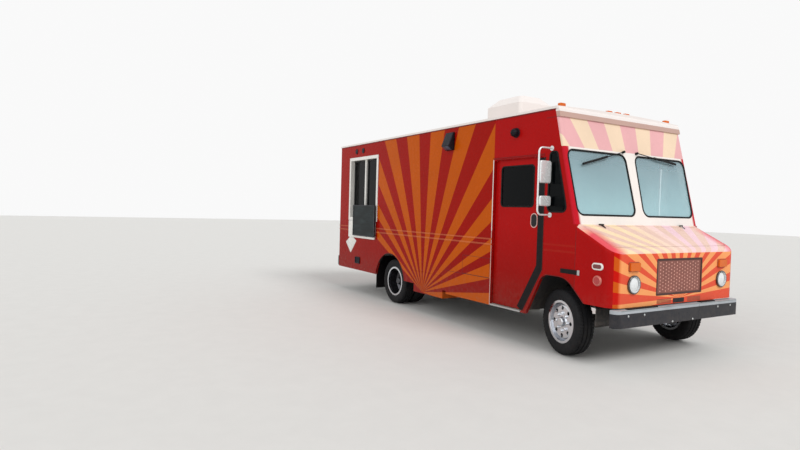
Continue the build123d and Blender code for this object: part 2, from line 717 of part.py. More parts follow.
add("grille", grille - holes)

# Nose lamps
lamps, amber_lamps, body_lamps = [], [], []
for hand in (-1, 1):
    place = (FACE_X, hand * HEADLAMP_Y, HEADLAMP_Z)
    ring = [
        (-NOSE_WALL, 0, 0), (-NOSE_WALL, HEADLAMP_RADIUS - BEZEL_LIP - SEAT_GAP, 0),
        (SEAT_GAP, HEADLAMP_RADIUS - BEZEL_LIP - SEAT_GAP, 0),
        (SEAT_GAP, HEADLAMP_RADIUS, 0), (HEADLAMP_PROUD, HEADLAMP_RADIUS, 8.0),
        (HEADLAMP_PROUD, HEADLAMP_LENS_RADIUS, 0),
        (0, HEADLAMP_LENS_RADIUS, 0), (0, 0, 0),
    ]
    bezel = Pos(*place) * Rot(0, 0, -90) * turned(ring, (0, 0, 0))
    lamps.append(bezel)
    lens_radius = HEADLAMP_LENS_RADIUS - SEAT_GAP
    dome_radius = (lens_radius ** 2 + LENS_DOME ** 2) / (2 * LENS_DOME)
    bend = math.asin(lens_radius / dome_radius) / 2
    rise = dome_radius * math.cos(bend) - dome_radius + LENS_DOME
    lens_face = Face(Wire([
        Edge.make_line((SEAT_GAP, 0), (LENS_DOME + SEAT_GAP, 0)),
        Edge.make_three_point_arc(
            (LENS_DOME + SEAT_GAP, 0), (rise + SEAT_GAP, dome_radius * math.sin(bend)),
            (SEAT_GAP, lens_radius)
        ),
        Edge.make_line((SEAT_GAP, lens_radius), (SEAT_GAP, 0)),
    ]))
    lens = revolve(lens_face, axis=Axis((0, 0, 0), (1, 0, 0)))
    lamps.append(Pos(*place) * lens)
    signal = rectangle(
        (hand * SIGNAL_Y - SIGNAL_WIDTH / 2, hand * SIGNAL_Y + SIGNAL_WIDTH / 2),
        (SIGNAL_Z - SIGNAL_HEIGHT / 2, SIGNAL_Z + SIGNAL_HEIGHT / 2), SIGNAL_CORNER,
    )
    amber_lamps.append(slab("X", signal, FACE_X + SEAT_GAP, FACE_X + SIGNAL_DEPTH))
    oval = rectangle(
        (FENDER_LAMP_X - FENDER_OVAL_LENGTH / 2, FENDER_LAMP_X + FENDER_OVAL_LENGTH / 2),
        (FENDER_OVAL_Z - FENDER_OVAL_HEIGHT / 2, FENDER_OVAL_Z + FENDER_OVAL_HEIGHT / 2),
        FENDER_OVAL_HEIGHT / 2 - 1,
    )
    body_lamps.append(side(slab("Y", oval, -HALF_WIDTH - FENDER_LAMP_DEPTH, -HALF_WIDTH - SEAT_GAP), hand))
    disc = Pos(FENDER_LAMP_X, -HALF_WIDTH - FENDER_LAMP_DEPTH / 2 - SEAT_GAP, FENDER_ROUND_Z)
    body_lamps.append(side(disc * Rot(90, 0, 0) * Cylinder(FENDER_ROUND_RADIUS, FENDER_LAMP_DEPTH), hand))
add("headlamps", *lamps)


# Hinges: the fixed leaf holds the pin and the two outer knuckles, the moving leaf the middle one


def hinge():
    """A hinge whose pin runs along Z through the origin, its leaves in the X direction."""
    length = 3 * HINGE_KNUCKLE
    pin = Cylinder(HINGE_PIN, length)
    fixed = pin
    for shift in (-1, 1):
        fixed += Pos(0, 0, shift * HINGE_KNUCKLE) * Cylinder(HINGE_BARREL, HINGE_KNUCKLE - 2)
    middle = Cylinder(HINGE_BARREL, HINGE_KNUCKLE - 2) - Cylinder(HINGE_PIN + RUNNING_GAP, length)
    return fixed, middle


fixed_knuckles, moving_knuckle = hinge()
hood_axis_z = hood_z(HOOD_AXIS_X) + HOOD_AXIS_LIFT
for hand in (-1, 1):
    place = Pos(HOOD_AXIS_X, hand * HOOD_HINGE_Y, hood_axis_z) * Rot(90, 0, 0)
    nose += place * fixed_knuckles
    for shift in (-1, 1):
        y = hand * HOOD_HINGE_Y + shift * HINGE_KNUCKLE
        foot = block(
            (HOOD_AXIS_X - 16, HOOD_AXIS_X), (y - HINGE_KNUCKLE / 2 + 1, y + HINGE_KNUCKLE / 2 - 1),
            (hood_z(HOOD_AXIS_X) - 10, hood_axis_z),
        )
        nose += foot
    y = hand * HOOD_HINGE_Y
    arm = slab(
        "Y",
        [
            (HOOD_AXIS_X + HINGE_PIN + 2, hood_axis_z - 6, 0),
            (HOOD_AXIS_X + HINGE_PIN + 2, hood_axis_z + 6, 0),
            (HOOD_REAR_X + HINGE_LEAF, hood_z(HOOD_REAR_X + HINGE_LEAF) + HINGE_LEAF_THICKNESS, 0),
            (HOOD_REAR_X + HINGE_LEAF, hood_z(HOOD_REAR_X + HINGE_LEAF) - 2, 0),
            (HOOD_REAR_X + 2, hood_z(HOOD_REAR_X + 2) - 2, 0),
        ],
        y - HINGE_KNUCKLE / 2 + 1, y + HINGE_KNUCKLE / 2 - 1,
    )
    hood += place * moving_knuckle
    hood += arm
add("nose_shell", nose)
add("hood", hood)

# Roof cap: crowned across, with a rounded return over the windscreen header
roof_front_x = rake_x(WALL_TOP_Z) - 8
roof_half = HALF_WIDTH + ROOF_LAP
roof_edge_z = WALL_TOP_Z + ROOF_EDGE
roof_face = Face(Wire([
    Edge.make_line((-roof_half, WALL_TOP_Z), (roof_half, WALL_TOP_Z)),
    Edge.make_line((roof_half, WALL_TOP_Z), (roof_half, roof_edge_z)),
    Edge.make_three_point_arc(
        (roof_half, roof_edge_z), (0, roof_edge_z + ROOF_CROWN), (-roof_half, roof_edge_z),
    ),
    Edge.make_line((-roof_half, roof_edge_z), (-roof_half, WALL_TOP_Z)),
]))
roof = extrude(Plane.YZ * roof_face, amount=roof_front_x - REAR_X + ROOF_LAP, dir=(1, 0, 0))
roof = Pos(REAR_X - ROOF_LAP, 0, 0) * roof
lip_x = rake_x(HEADER_TOP_Z)
return_points = [
    (lip_x - WIND_DEPTH, HEADER_TOP_Z, 0), (lip_x + ROOF_LIP, HEADER_TOP_Z, 0),
    (rake_x(roof_edge_z) + ROOF_LIP, roof_edge_z, 60.0), (roof_front_x - 60, roof_edge_z, 0),
    (roof_front_x - 60, WALL_TOP_Z, 0), (rake_x(WALL_TOP_Z) - WIND_DEPTH, WALL_TOP_Z, 0),
]
roof += slab("Y", return_points, -HALF_WIDTH, HALF_WIDTH)
add("roof_panel", roof)

vent_base = roof_edge_z + 10
vent_low = rectangle(
    (VENT_X - VENT_LENGTH / 2, VENT_X + VENT_LENGTH / 2),
    (VENT_Y - VENT_WIDTH / 2, VENT_Y + VENT_WIDTH / 2), 60.0,
)
vent_high = rectangle(
    (VENT_X - VENT_LENGTH / 2 + VENT_TAPER, VENT_X + VENT_LENGTH / 2 - VENT_TAPER),
    (VENT_Y - VENT_WIDTH / 2 + VENT_TAPER, VENT_Y + VENT_WIDTH / 2 - VENT_TAPER), 60.0,
)
vent = slab("Z", vent_low, vent_base, VENT_TOP_Z - 120)
vent += loft([Pos(0, 0, VENT_TOP_Z - 120) * outline(vent_low), Pos(0, 0, VENT_TOP_Z) * outline(vent_high)])
add("roof_vent", vent - roof)

for y in MARKER_ROW_Y:
    base = roof_edge_z - MARKER_SUNK
    marker = block(
        (MARKER_X - MARKER_LENGTH / 2, MARKER_X + MARKER_LENGTH / 2),
        (y - MARKER_WIDTH / 2, y + MARKER_WIDTH / 2), (base, roof_edge_z + MARKER_HEIGHT + MARKER_SUNK),
    )
    marker = fillet(marker.edges().filter_by(Axis.Z), 18)
    top = marker.faces().sort_by(Axis.Z)[-1]
    marker = fillet(top.edges(), 12)
    amber_lamps.append(marker - roof)
add("amber_lamps", *amber_lamps)

# Floor with its bearers, cut for the step wells and the wheels
floor = block((REAR_X + WALL, FIREWALL_X), (-INNER, INNER), (FLOOR_BOTTOM_Z, FLOOR_TOP_Z))
for x in BEARERS_X:
    floor += block(
        (x - BEARER_WIDTH / 2, x + BEARER_WIDTH / 2), (-STEP_INNER_Y + 60, STEP_INNER_Y - 60),
        (RAIL_TOP_Z, FLOOR_BOTTOM_Z),
    )
floor += block(
    (SEAT_REAR_X + SEAT_FOOT_INSET, SEAT_FRONT_X - SEAT_FOOT_INSET),
    (DRIVER_Y - SEAT_FOOT_WIDTH / 2, DRIVER_Y + SEAT_FOOT_WIDTH / 2),
    (FLOOR_TOP_Z - 2, SEAT_TOP_Z - SEAT_CUSHION),
)
floor -= block(
    (COVER_REAR_X + COVER_SHEET, FIREWALL_X + CUT),
    (-COVER_HALF_WIDTH + COVER_SHEET, COVER_HALF_WIDTH - COVER_SHEET), (0, FLOOR_TOP_Z + CUT),
)
for hand in (-1, 1):
    well = block(
        (REAR_WELL_REAR_X + WELL_SHEET, REAR_WELL_FRONT_X - WELL_SHEET),
        (-INNER - CUT, -REAR_WELL_INNER_Y - WELL_SHEET), (0, FLOOR_TOP_Z + CUT),
    )
    floor -= side(well, hand)
    step = block(
        (DOOR_REAR_X - STEP_PANEL, DOOR_FRONT_X), (-INNER - CUT, -STEP_INNER_Y), (0, FLOOR_TOP_Z + CUT),
    )
    floor -= side(step, hand)
    floor -= side(well_outer, hand)
    slot = block(
        (DOOR_REAR_X - DOOR_TRAVEL - POCKET_END_GAP - DOOR_LAP, DOOR_REAR_X + 10),
        (-INNER - CUT, -INNER + DOOR_GAP_Y + DOOR_THICKNESS + POCKET_GAP), (0, FLOOR_TOP_Z + CUT),
    )
    floor -= side(slot, hand)
add("floor_panel", floor)

# Wheelhouses: arched in front, boxed at the rear
front_well = well_outer - well_inner
front_well -= block(
    (FRONT_AXLE_X - WELL_CUT_REACH, FRONT_AXLE_X + WELL_CUT_REACH),
    (-FRONT_WELL_INNER_Y - 1, -FRONT_WELL_INNER_Y + CUT),
    (0, FLOOR_BOTTOM_Z),
)
front_well -= block(
    (FRONT_AXLE_X - WELL_CUT_REACH, FRONT_AXLE_X + WELL_CUT_REACH), (-INNER - CUT, 0), (0, SIDE_BOTTOM_Z),
)
front_well -= block((COVER_REAR_X - 300, FACE_X), (-COVER_HALF_WIDTH, COVER_HALF_WIDTH), (0, COVER_TOP_Z))
rear_well = block(
    (REAR_WELL_REAR_X, REAR_WELL_FRONT_X), (-INNER, -REAR_WELL_INNER_Y), (FLOOR_TOP_Z, REAR_WELL_TOP_Z),
)
rear_well -= block(
    (REAR_WELL_REAR_X + WELL_SHEET, REAR_WELL_FRONT_X - WELL_SHEET),
    (-INNER - CUT, -REAR_WELL_INNER_Y - WELL_SHEET), (0, REAR_WELL_TOP_Z - WELL_SHEET),
)
add("wheelhouses", *both(front_well), *both(rear_well))

# Cab doors: they slide back into a pocket inside the wall
door_out = -INNER + DOOR_GAP_Y
door_in = door_out + DOOR_THICKNESS
door_front_x = DOOR_FRONT_X - DOOR_FRONT_GAP
door_foot_x = DOOR_FOOT_X + (DOOR_FOOT_Z - SILL_BOTTOM_Z) * DOOR_FOOT_SLOPE - DOOR_FRONT_GAP
door_outline = [
    (DOOR_REAR_X - DOOR_LAP, DOOR_FOOT_Z, 0), (DOOR_REAR_X - DOOR_LAP, DOOR_TOP_Z + DOOR_LAP, 20.0),
    (door_front_x, DOOR_TOP_Z + DOOR_LAP, 20.0), (door_front_x, DOOR_KNEE_Z, DOOR_CORNER),
    (door_foot_x, DOOR_FOOT_Z, 0),
]
window = rectangle(
    (DOOR_WINDOW_REAR_X, DOOR_WINDOW_FRONT_X), (DOOR_WINDOW_BOTTOM_Z, DOOR_WINDOW_TOP_Z),
    DOOR_WINDOW_CORNER,
)
cab_door = slab("Y", door_outline, door_out, door_in) - slab("Y", window, door_out - CUT, door_in + CUT)
for x in DOOR_HANGERS_X:
    hanger = (DOOR_TOP_Z + DOOR_LAP - 2, DOOR_TOP_Z + DOOR_LAP + MOVING_GAP - SEAT_GAP)
    cab_door += block(
        (x - DOOR_HANGER_LENGTH / 2, x + DOOR_HANGER_LENGTH / 2), (door_out + 6, door_in - 6), hanger,
    )
pane = rectangle(
    (DOOR_WINDOW_REAR_X + SEAT_GAP, DOOR_WINDOW_FRONT_X - SEAT_GAP),
    (DOOR_WINDOW_BOTTOM_Z + SEAT_GAP, DOOR_WINDOW_TOP_Z - SEAT_GAP), DOOR_WINDOW_CORNER,
)
door_glass = slab("Y", pane, door_out + GLASS_INSET, door_out + GLASS_INSET + GLASS_THICKNESS)
for name, hand in (("right", -1), ("left", 1)):
    add("cab_door_" + name, side(cab_door, hand))
    add("cab_door_glass_" + name, side(door_glass, hand))

# Door pockets: the panel inside the wall, its rear end and the top rail
pocket_y = door_in + POCKET_GAP
pocket_rear = DOOR_REAR_X - DOOR_LAP - DOOR_TRAVEL - POCKET_END_GAP
pocket = block(
    (pocket_rear, DOOR_REAR_X - STEP_PANEL - 2), (pocket_y, pocket_y + POCKET_PANEL),
    (FLOOR_TOP_Z, DOOR_TOP_Z + POCKET_RISE),
)
pocket += block(
    (pocket_rear, pocket_rear + POCKET_PANEL), (-INNER, pocket_y), (FLOOR_TOP_Z, DOOR_TOP_Z + POCKET_RISE),
)
pocket += block(
    (pocket_rear, DOOR_FRONT_X), (-INNER, pocket_y + POCKET_PANEL),
    (DOOR_TOP_Z + DOOR_LAP + MOVING_GAP, DOOR_TOP_Z + POCKET_RISE),
)

# Step wells inside the cab doors
step_rear = DOOR_REAR_X
step = block(
    (step_rear, DOOR_FOOT_X), (-HALF_WIDTH, -STEP_INNER_Y), (STEP_TOP_Z - STEP_THICKNESS, STEP_TOP_Z),
)
step += block(
    (step_rear, DOOR_FOOT_X), (-STEP_INNER_Y - STEP_PANEL, -STEP_INNER_Y),
    (STEP_TOP_Z - STEP_THICKNESS, FLOOR_TOP_Z),
)
step += block(
    (step_rear, step_rear + STEP_PANEL), (pocket_y + 2, -STEP_INNER_Y),
    (STEP_TOP_Z - STEP_THICKNESS, FLOOR_TOP_Z),
)
add("door_pockets", *both(pocket), *both(step))

# Skirt boxes
skirt_box = block(
    (BOX_REAR_X, BOX_FRONT_X), (-HALF_WIDTH, -HALF_WIDTH + BOX_DEPTH), (BOX_BOTTOM_Z, BOX_TOP_Z),
)
skirt_face = skirt_box.faces().sort_by(Axis.Y)[0]
skirt_box = chamfer(skirt_face.edges(), BOX_EDGE)
add("skirt_boxes", *both(skirt_box))

# Serving window frame, with its jamb, mullion, panes, shelf and board
frame_outer = rectangle((WINDOW_REAR_X, WINDOW_FRONT_X), (WINDOW_BOTTOM_Z, WINDOW_TOP_Z), 6.0)
frame_jamb = rectangle(
    (WINDOW_REAR_X + WINDOW_LAP, WINDOW_FRONT_X - WINDOW_LAP),
    (WINDOW_BOTTOM_Z + WINDOW_LAP, WINDOW_TOP_Z - WINDOW_LAP),
)
frame_inner = rectangle(
    (WINDOW_REAR_X + WINDOW_FACE, WINDOW_FRONT_X - WINDOW_FACE),
    (WINDOW_BOTTOM_Z + WINDOW_FACE, WINDOW_TOP_Z - WINDOW_FACE),
)
frame_out = -HALF_WIDTH - WINDOW_PROUD
window_frame = slab("Y", frame_outer, frame_out, -HALF_WIDTH)
window_frame += slab("Y", frame_jamb, -HALF_WIDTH, frame_out + WINDOW_DEPTH)
window_frame -= slab("Y", frame_inner, frame_out - CUT, frame_out + WINDOW_DEPTH + CUT)
mullion_x = (WINDOW_REAR_X + WINDOW_FRONT_X) / 2
window_frame += block(
    (mullion_x - WINDOW_MULLION / 2, mullion_x + WINDOW_MULLION / 2),
    (frame_out + PANE_RECESS - 40, frame_out + WINDOW_DEPTH),
    (WINDOW_BOTTOM_Z + WINDOW_FACE, WINDOW_TOP_Z - WINDOW_FACE),
)
add("serving_window_frame", window_frame)
window_panes = []
pane_spans = [
    (WINDOW_REAR_X + WINDOW_FACE + SEAT_GAP, mullion_x - WINDOW_MULLION / 2 - SEAT_GAP),
    (mullion_x + WINDOW_MULLION / 2 + SEAT_GAP, WINDOW_FRONT_X - WINDOW_FACE - SEAT_GAP),
]
for span in pane_spans:
    window_panes.append(
        block(
            span, (frame_out + PANE_RECESS, frame_out + PANE_RECESS + GLASS_THICKNESS),
            (WINDOW_BOTTOM_Z + WINDOW_FACE + SEAT_GAP, WINDOW_TOP_Z - WINDOW_FACE - SEAT_GAP),
        )
    )
add("serving_window_glass", *window_panes)
shelf_in = -HALF_WIDTH - BELT_PROUD - SEAT_GAP
shelf = slab(
    "Y", rectangle((SHELF_REAR_X, SHELF_FRONT_X), (SHELF_BOTTOM_Z, SHELF_TOP_Z), 15.0),
    shelf_in - SHELF_THICKNESS, shelf_in,
)
add("serving_shelf", shelf)
board_in = shelf_in - SHELF_THICKNESS - SEAT_GAP
board = slab(
    "Y", rectangle((BOARD_REAR_X, BOARD_FRONT_X), (BOARD_BOTTOM_Z, BOARD_TOP_Z), 10.0),
    board_in - BOARD_THICKNESS, board_in,
)
add("menu_board", board)


# Bumpers: a channel with rounded ends


def bumper(face_x, direction):
    back_x = face_x - direction * BUMPER_DEPTH
    outer = [
        (back_x, -HALF_WIDTH, 0), (face_x, -HALF_WIDTH, BUMPER_CORNER), (face_x, HALF_WIDTH, BUMPER_CORNER),
        (back_x, HALF_WIDTH, 0),
    ]
    inset = BUMPER_PLATE
    inner = [
        (back_x - direction * 40, -HALF_WIDTH + inset, 0),
        (face_x - direction * inset, -HALF_WIDTH + inset, BUMPER_CORNER - inset),
        (face_x - direction * inset, HALF_WIDTH - inset, BUMPER_CORNER - inset),
        (back_x - direction * 40, HALF_WIDTH - inset, 0),
    ]
    channel = slab("Z", outer, BUMPER_BOTTOM_Z, BUMPER_TOP_Z)
    channel -= slab("Z", inner, BUMPER_BOTTOM_Z + inset, BUMPER_TOP_Z - inset)
    for shift in (-PLATE_HOLE_SPACING / 2, PLATE_HOLE_SPACING / 2):
        channel -= rod(
            (face_x - 60, shift, PLATE_HOLE_Z), (face_x + 60, shift, PLATE_HOLE_Z), PLATE_HOLE_RADIUS,
        )
    return channel


add("bumpers", bumper(BUMPER_FRONT_X, 1), bumper(BUMPER_REAR_X, -1))

# Chassis frame: two channel rails and cross members
rail_front_x = BUMPER_FRONT_X - BUMPER_PLATE
rail_rear_x = BUMPER_REAR_X + BUMPER_PLATE
rail = block((rail_rear_x, rail_front_x), (-RAIL_Y, -RAIL_Y + RAIL_FLANGE), (RAIL_BOTTOM_Z, RAIL_TOP_Z))
rail -= block(
    (rail_rear_x - CUT, rail_front_x + CUT), (-RAIL_Y + RAIL_WEB, 0),
    (RAIL_BOTTOM_Z + RAIL_WEB, RAIL_TOP_Z - RAIL_WEB),
)
rail -= block(
    (COWL_X + 200, rail_front_x + CUT), (-RAIL_Y - CUT, 0), (BUMPER_TOP_Z - BUMPER_PLATE, RAIL_TOP_Z + CUT),
)
rail -= block(
    (rail_rear_x - CUT, REAR_X + WALL + 10), (-RAIL_Y - CUT, 0),
    (BUMPER_TOP_Z - BUMPER_PLATE, RAIL_TOP_Z + CUT),
)
chassis = rail + left(rail)
for x in CROSS_MEMBERS_X:
    high = RAIL_TOP_Z - RAIL_WEB + 1 if abs(x) < COWL_X else BUMPER_TOP_Z - BUMPER_PLATE
    chassis += block(
        (x - CROSS_MEMBER_WIDTH / 2, x + CROSS_MEMBER_WIDTH / 2), (-RAIL_Y + 2, RAIL_Y - 2),
        (high - CROSS_MEMBER_HEIGHT, high),
    )
add("chassis_frame", chassis)

# Engine, its cover, and the dashboard
add(
    "engine_block",
    block(
        (ENGINE_REAR_X, ENGINE_FRONT_X), (-ENGINE_HALF_WIDTH, ENGINE_HALF_WIDTH),
        (ENGINE_BOTTOM_Z, ENGINE_TOP_Z),
    ),
)
cover = slab("X", [
    (-COVER_HALF_WIDTH, FLOOR_TOP_Z, 0), (-COVER_HALF_WIDTH, COVER_TOP_Z, COVER_CORNER),
    (COVER_HALF_WIDTH, COVER_TOP_Z, COVER_CORNER), (COVER_HALF_WIDTH, FLOOR_TOP_Z, 0),
], COVER_REAR_X, FIREWALL_X)
cover -= slab("X", [
    (-COVER_HALF_WIDTH + COVER_SHEET, FLOOR_TOP_Z - CUT, 0),
    (-COVER_HALF_WIDTH + COVER_SHEET, COVER_TOP_Z - COVER_SHEET, COVER_CORNER - COVER_SHEET),
    (COVER_HALF_WIDTH - COVER_SHEET, COVER_TOP_Z - COVER_SHEET, COVER_CORNER - COVER_SHEET),
    (COVER_HALF_WIDTH - COVER_SHEET, FLOOR_TOP_Z - CUT, 0),
], COVER_REAR_X + COVER_SHEET, FIREWALL_X + CUT)
add("engine_cover", cover)
dash = slab("Y", [
    (DASH_REAR_X, DASH_BOTTOM_Z, DASH_CORNERS[0]), (DASH_REAR_X + DASH_LEAN, DASH_TOP_Z, DASH_CORNERS[1]),
    (FIREWALL_X, DASH_TOP_Z, 0),
    (FIREWALL_X, DASH_BOTTOM_Z, 0),
], -DASH_HALF_WIDTH, DASH_HALF_WIDTH)

# Driver's seat on its pedestal
seat = slab("Y", [
    (SEAT_REAR_X, SEAT_TOP_Z - SEAT_CUSHION, SEAT_EDGE),
    (SEAT_REAR_X - SEAT_BACK_LEAN, SEAT_BACK_TOP_Z, SEAT_CORNER),
    (SEAT_REAR_X - SEAT_BACK_LEAN + SEAT_BACK_THICKNESS, SEAT_BACK_TOP_Z, SEAT_CORNER),
    (SEAT_REAR_X + SEAT_CUSHION, SEAT_TOP_Z, SEAT_CORNER), (SEAT_FRONT_X, SEAT_TOP_Z, SEAT_CORNER),
    (SEAT_FRONT_X, SEAT_TOP_Z - SEAT_CUSHION, SEAT_EDGE),
], DRIVER_Y - SEAT_WIDTH / 2, DRIVER_Y + SEAT_WIDTH / 2)
add("driver_seat", seat)

# Steering column and wheel
tilt = math.radians(COLUMN_TILT)
axis_dir = Vector(-math.sin(tilt), 0, math.cos(tilt))
centre = Vector(WHEEL_CENTRE_X, DRIVER_Y, WHEEL_CENTRE_Z)
column_top = centre - axis_dir * COLUMN_NECK
column_foot = column_top - axis_dir * ((column_top.Z - FLOOR_TOP_Z) / axis_dir.Z + 2 * COLUMN_RADIUS)
column = rod(column_foot, column_top, COLUMN_RADIUS) + rod(column_top, centre, COLUMN_SHAFT)
column -= block(
    (COVER_REAR_X, FIREWALL_X + 200), (DRIVER_Y - 100, DRIVER_Y + 100), (0, FLOOR_TOP_Z + SEAT_GAP),
)
add("dashboard", dash, column)
wheel_plane = Plane(centre, z_dir=axis_dir)
steering = wheel_plane * Torus(STEERING_WHEEL_RADIUS, STEERING_GRIP)
steering += wheel_plane * Pos(0, 0, -HORN_DROP) * Cylinder(HORN_RADIUS, HORN_HEIGHT)
steering -= wheel_plane * Pos(0, 0, -HORN_HEIGHT / 2) * Cylinder(
    COLUMN_SHAFT + RUNNING_GAP, HORN_HEIGHT + 2,
)
for spoke in range(SPOKES):
    turn = Rot(0, 0, 90 + 360 / SPOKES * spoke + STEERING_RATIO * WHEELS_TURNED)
    steering += wheel_plane * turn * Pos(
        STEERING_WHEEL_RADIUS / 2 + SPOKE_WIDTH / 2, 0, -SPOKE_DROP,
    ) * Box(STEERING_WHEEL_RADIUS - HORN_RADIUS + STEERING_GRIP, SPOKE_WIDTH, SPOKE_THICKNESS)
add("steering_wheel", steering)


def steered(shape, hand):
    """A shape drawn straight ahead, turned about the kingpin of its side."""
    pin = Pos(FRONT_AXLE_X, hand * KINGPIN_Y, 0)
    return pin * Rot(0, 0, WHEELS_TURNED) * pin.inverse() * shape


# Front axle beam with an eye for each kingpin
axle_z = WHEEL_RADIUS
beam = slab("X", [
    (-KINGPIN_Y + 25, axle_z - BEAM_HALF, 0), (-KINGPIN_Y + 25, axle_z + BEAM_HALF, 0),
    (-KINGPIN_Y + 90, axle_z + 40, 30.0), (-620, axle_z - 10, 40.0),
    (620, axle_z - 10, 40.0), (KINGPIN_Y - 90, axle_z + 40, 30.0),
    (KINGPIN_Y - 25, axle_z + BEAM_HALF, 0), (KINGPIN_Y - 25, axle_z - BEAM_HALF, 0),
    (580, axle_z - 100, 40.0), (-580, axle_z - 100, 40.0),
], FRONT_AXLE_X - BEAM_EYE, FRONT_AXLE_X + BEAM_EYE)
for hand in (-1, 1):
    eye = Pos(FRONT_AXLE_X, hand * KINGPIN_Y, axle_z)
    beam += eye * Cylinder(BEAM_EYE, 2 * BEAM_HALF)
for hand in (-1, 1):
    eye = Pos(FRONT_AXLE_X, hand * KINGPIN_Y, axle_z)
    beam -= eye * Cylinder(KINGPIN_RADIUS + RUNNING_GAP, 200)
add("front_axle", beam)

# Steering knuckles: yoke, kingpin, spindle and steering arm
yoke_low, yoke_high = axle_z - BEAM_HALF - MOVING_GAP, axle_z + BEAM_HALF + MOVING_GAP
plate_in = -KINGPIN_Y - BEAM_EYE - MOVING_GAP
plate_out = plate_in - YOKE_PLATE
knuckle = Pos(FRONT_AXLE_X, -KINGPIN_Y, axle_z) * Cylinder(
    KINGPIN_RADIUS, yoke_high - yoke_low + 2 * YOKE_EAR,
)
for low, high in ((yoke_low - YOKE_EAR, yoke_low), (yoke_high, yoke_high + YOKE_EAR)):
    knuckle += Pos(FRONT_AXLE_X, -KINGPIN_Y, (low + high) / 2) * Cylinder(YOKE_RADIUS, high - low)
    knuckle += block(
        (FRONT_AXLE_X - YOKE_RADIUS, FRONT_AXLE_X + YOKE_RADIUS), (plate_out, -KINGPIN_Y), (low, high),
    )
knuckle += block(
    (FRONT_AXLE_X - YOKE_HALF_LENGTH, FRONT_AXLE_X + YOKE_HALF_LENGTH), (plate_out, plate_in),
    (yoke_low - YOKE_EAR, yoke_high + YOKE_EAR),
)
knuckle += rod(
    (FRONT_AXLE_X, plate_in, axle_z), (FRONT_AXLE_X, -FRONT_TRACK_Y - 20, axle_z), HUB_BORE - RUNNING_GAP,
)
arm_x = FRONT_AXLE_X - STEER_ARM
arm_z = yoke_low - 15
knuckle += block(
    (arm_x, FRONT_AXLE_X), (-KINGPIN_Y - ARM_HALF_WIDTH, -KINGPIN_Y + ARM_HALF_WIDTH),
    (yoke_low - 28, yoke_low - 4),
)
knuckle += Pos(arm_x, -KINGPIN_Y, arm_z) * Cylinder(16, 24)
rod_z = yoke_low - 28 - 24
knuckle += rod((arm_x, -KINGPIN_Y, rod_z - 14), (arm_x, -KINGPIN_Y, arm_z), STEER_PIN)
for name, hand in (("right", -1), ("left", 1)):
    add("knuckle_" + name, steered(side(knuckle, hand), hand))

# Tie rod below the two steering arms
tie = rod((arm_x, -KINGPIN_Y + 20, rod_z), (arm_x, KINGPIN_Y - 20, rod_z), ROD_RADIUS)
for hand, gap in ((-1, RUNNING_GAP), (1, OPEN_PIVOT_GAP)):
    tie += Pos(arm_x, hand * KINGPIN_Y, rod_z) * Cylinder(22, 34)
    tie -= Pos(arm_x, hand * KINGPIN_Y, rod_z) * Cylinder(STEER_PIN + gap, 60)
turned_arm = Vector(-STEER_ARM, 0).rotate(Axis.Z, WHEELS_TURNED) - Vector(-STEER_ARM, 0)
add("tie_rod", Pos(*turned_arm) * tie)

# Rear axle
rear_axle = rod((REAR_AXLE_X, -BACKING_Y, axle_z), (REAR_AXLE_X, BACKING_Y, axle_z), AXLE_TUBE)
rear_axle += rod(
    (REAR_AXLE_X, -REAR_OUTER_Y + 20, axle_z), (REAR_AXLE_X, REAR_OUTER_Y - 20, axle_z),
    HUB_BORE - RUNNING_GAP,
)
banjo = turned(
    [
        (-BANJO_HALF_WIDTH, 0, 0), (-BANJO_HALF_WIDTH, AXLE_TUBE, 0), (-BANJO_FLAT, AXLE_BANJO, 50.0),
        (BANJO_FLAT, AXLE_BANJO, 50.0), (BANJO_HALF_WIDTH, AXLE_TUBE, 0), (BANJO_HALF_WIDTH, 0, 0),
    ],
    (REAR_AXLE_X, 0, axle_z),
)
rear_axle += banjo
rear_axle += rod(
    (REAR_AXLE_X, 0, axle_z + PINION_RISE / 2), (REAR_AXLE_X + PINION_LENGTH, 0, axle_z + PINION_RISE),
    PINION_RADIUS,
)
for hand in (-1, 1):
    rear_axle += rod(
        (REAR_AXLE_X, hand * (BACKING_Y - 15), axle_z), (REAR_AXLE_X, hand * BACKING_Y, axle_z),
        DRUM_RADIUS,
    )
shaft_rear = (REAR_AXLE_X + PINION_LENGTH - 10, 0, axle_z + PINION_RISE)
shaft_front = (ENGINE_REAR_X + 20, 0, ENGINE_BOTTOM_Z + 45)
shaft = rod(shaft_rear, shaft_front, SHAFT_RADIUS)
shaft -= block((ENGINE_REAR_X - SEAT_GAP, ENGINE_REAR_X + 100), (-100, 100), (0, ENGINE_TOP_Z))
rear_axle += shaft
add("rear_axle", rear_axle)

# Leaf springs


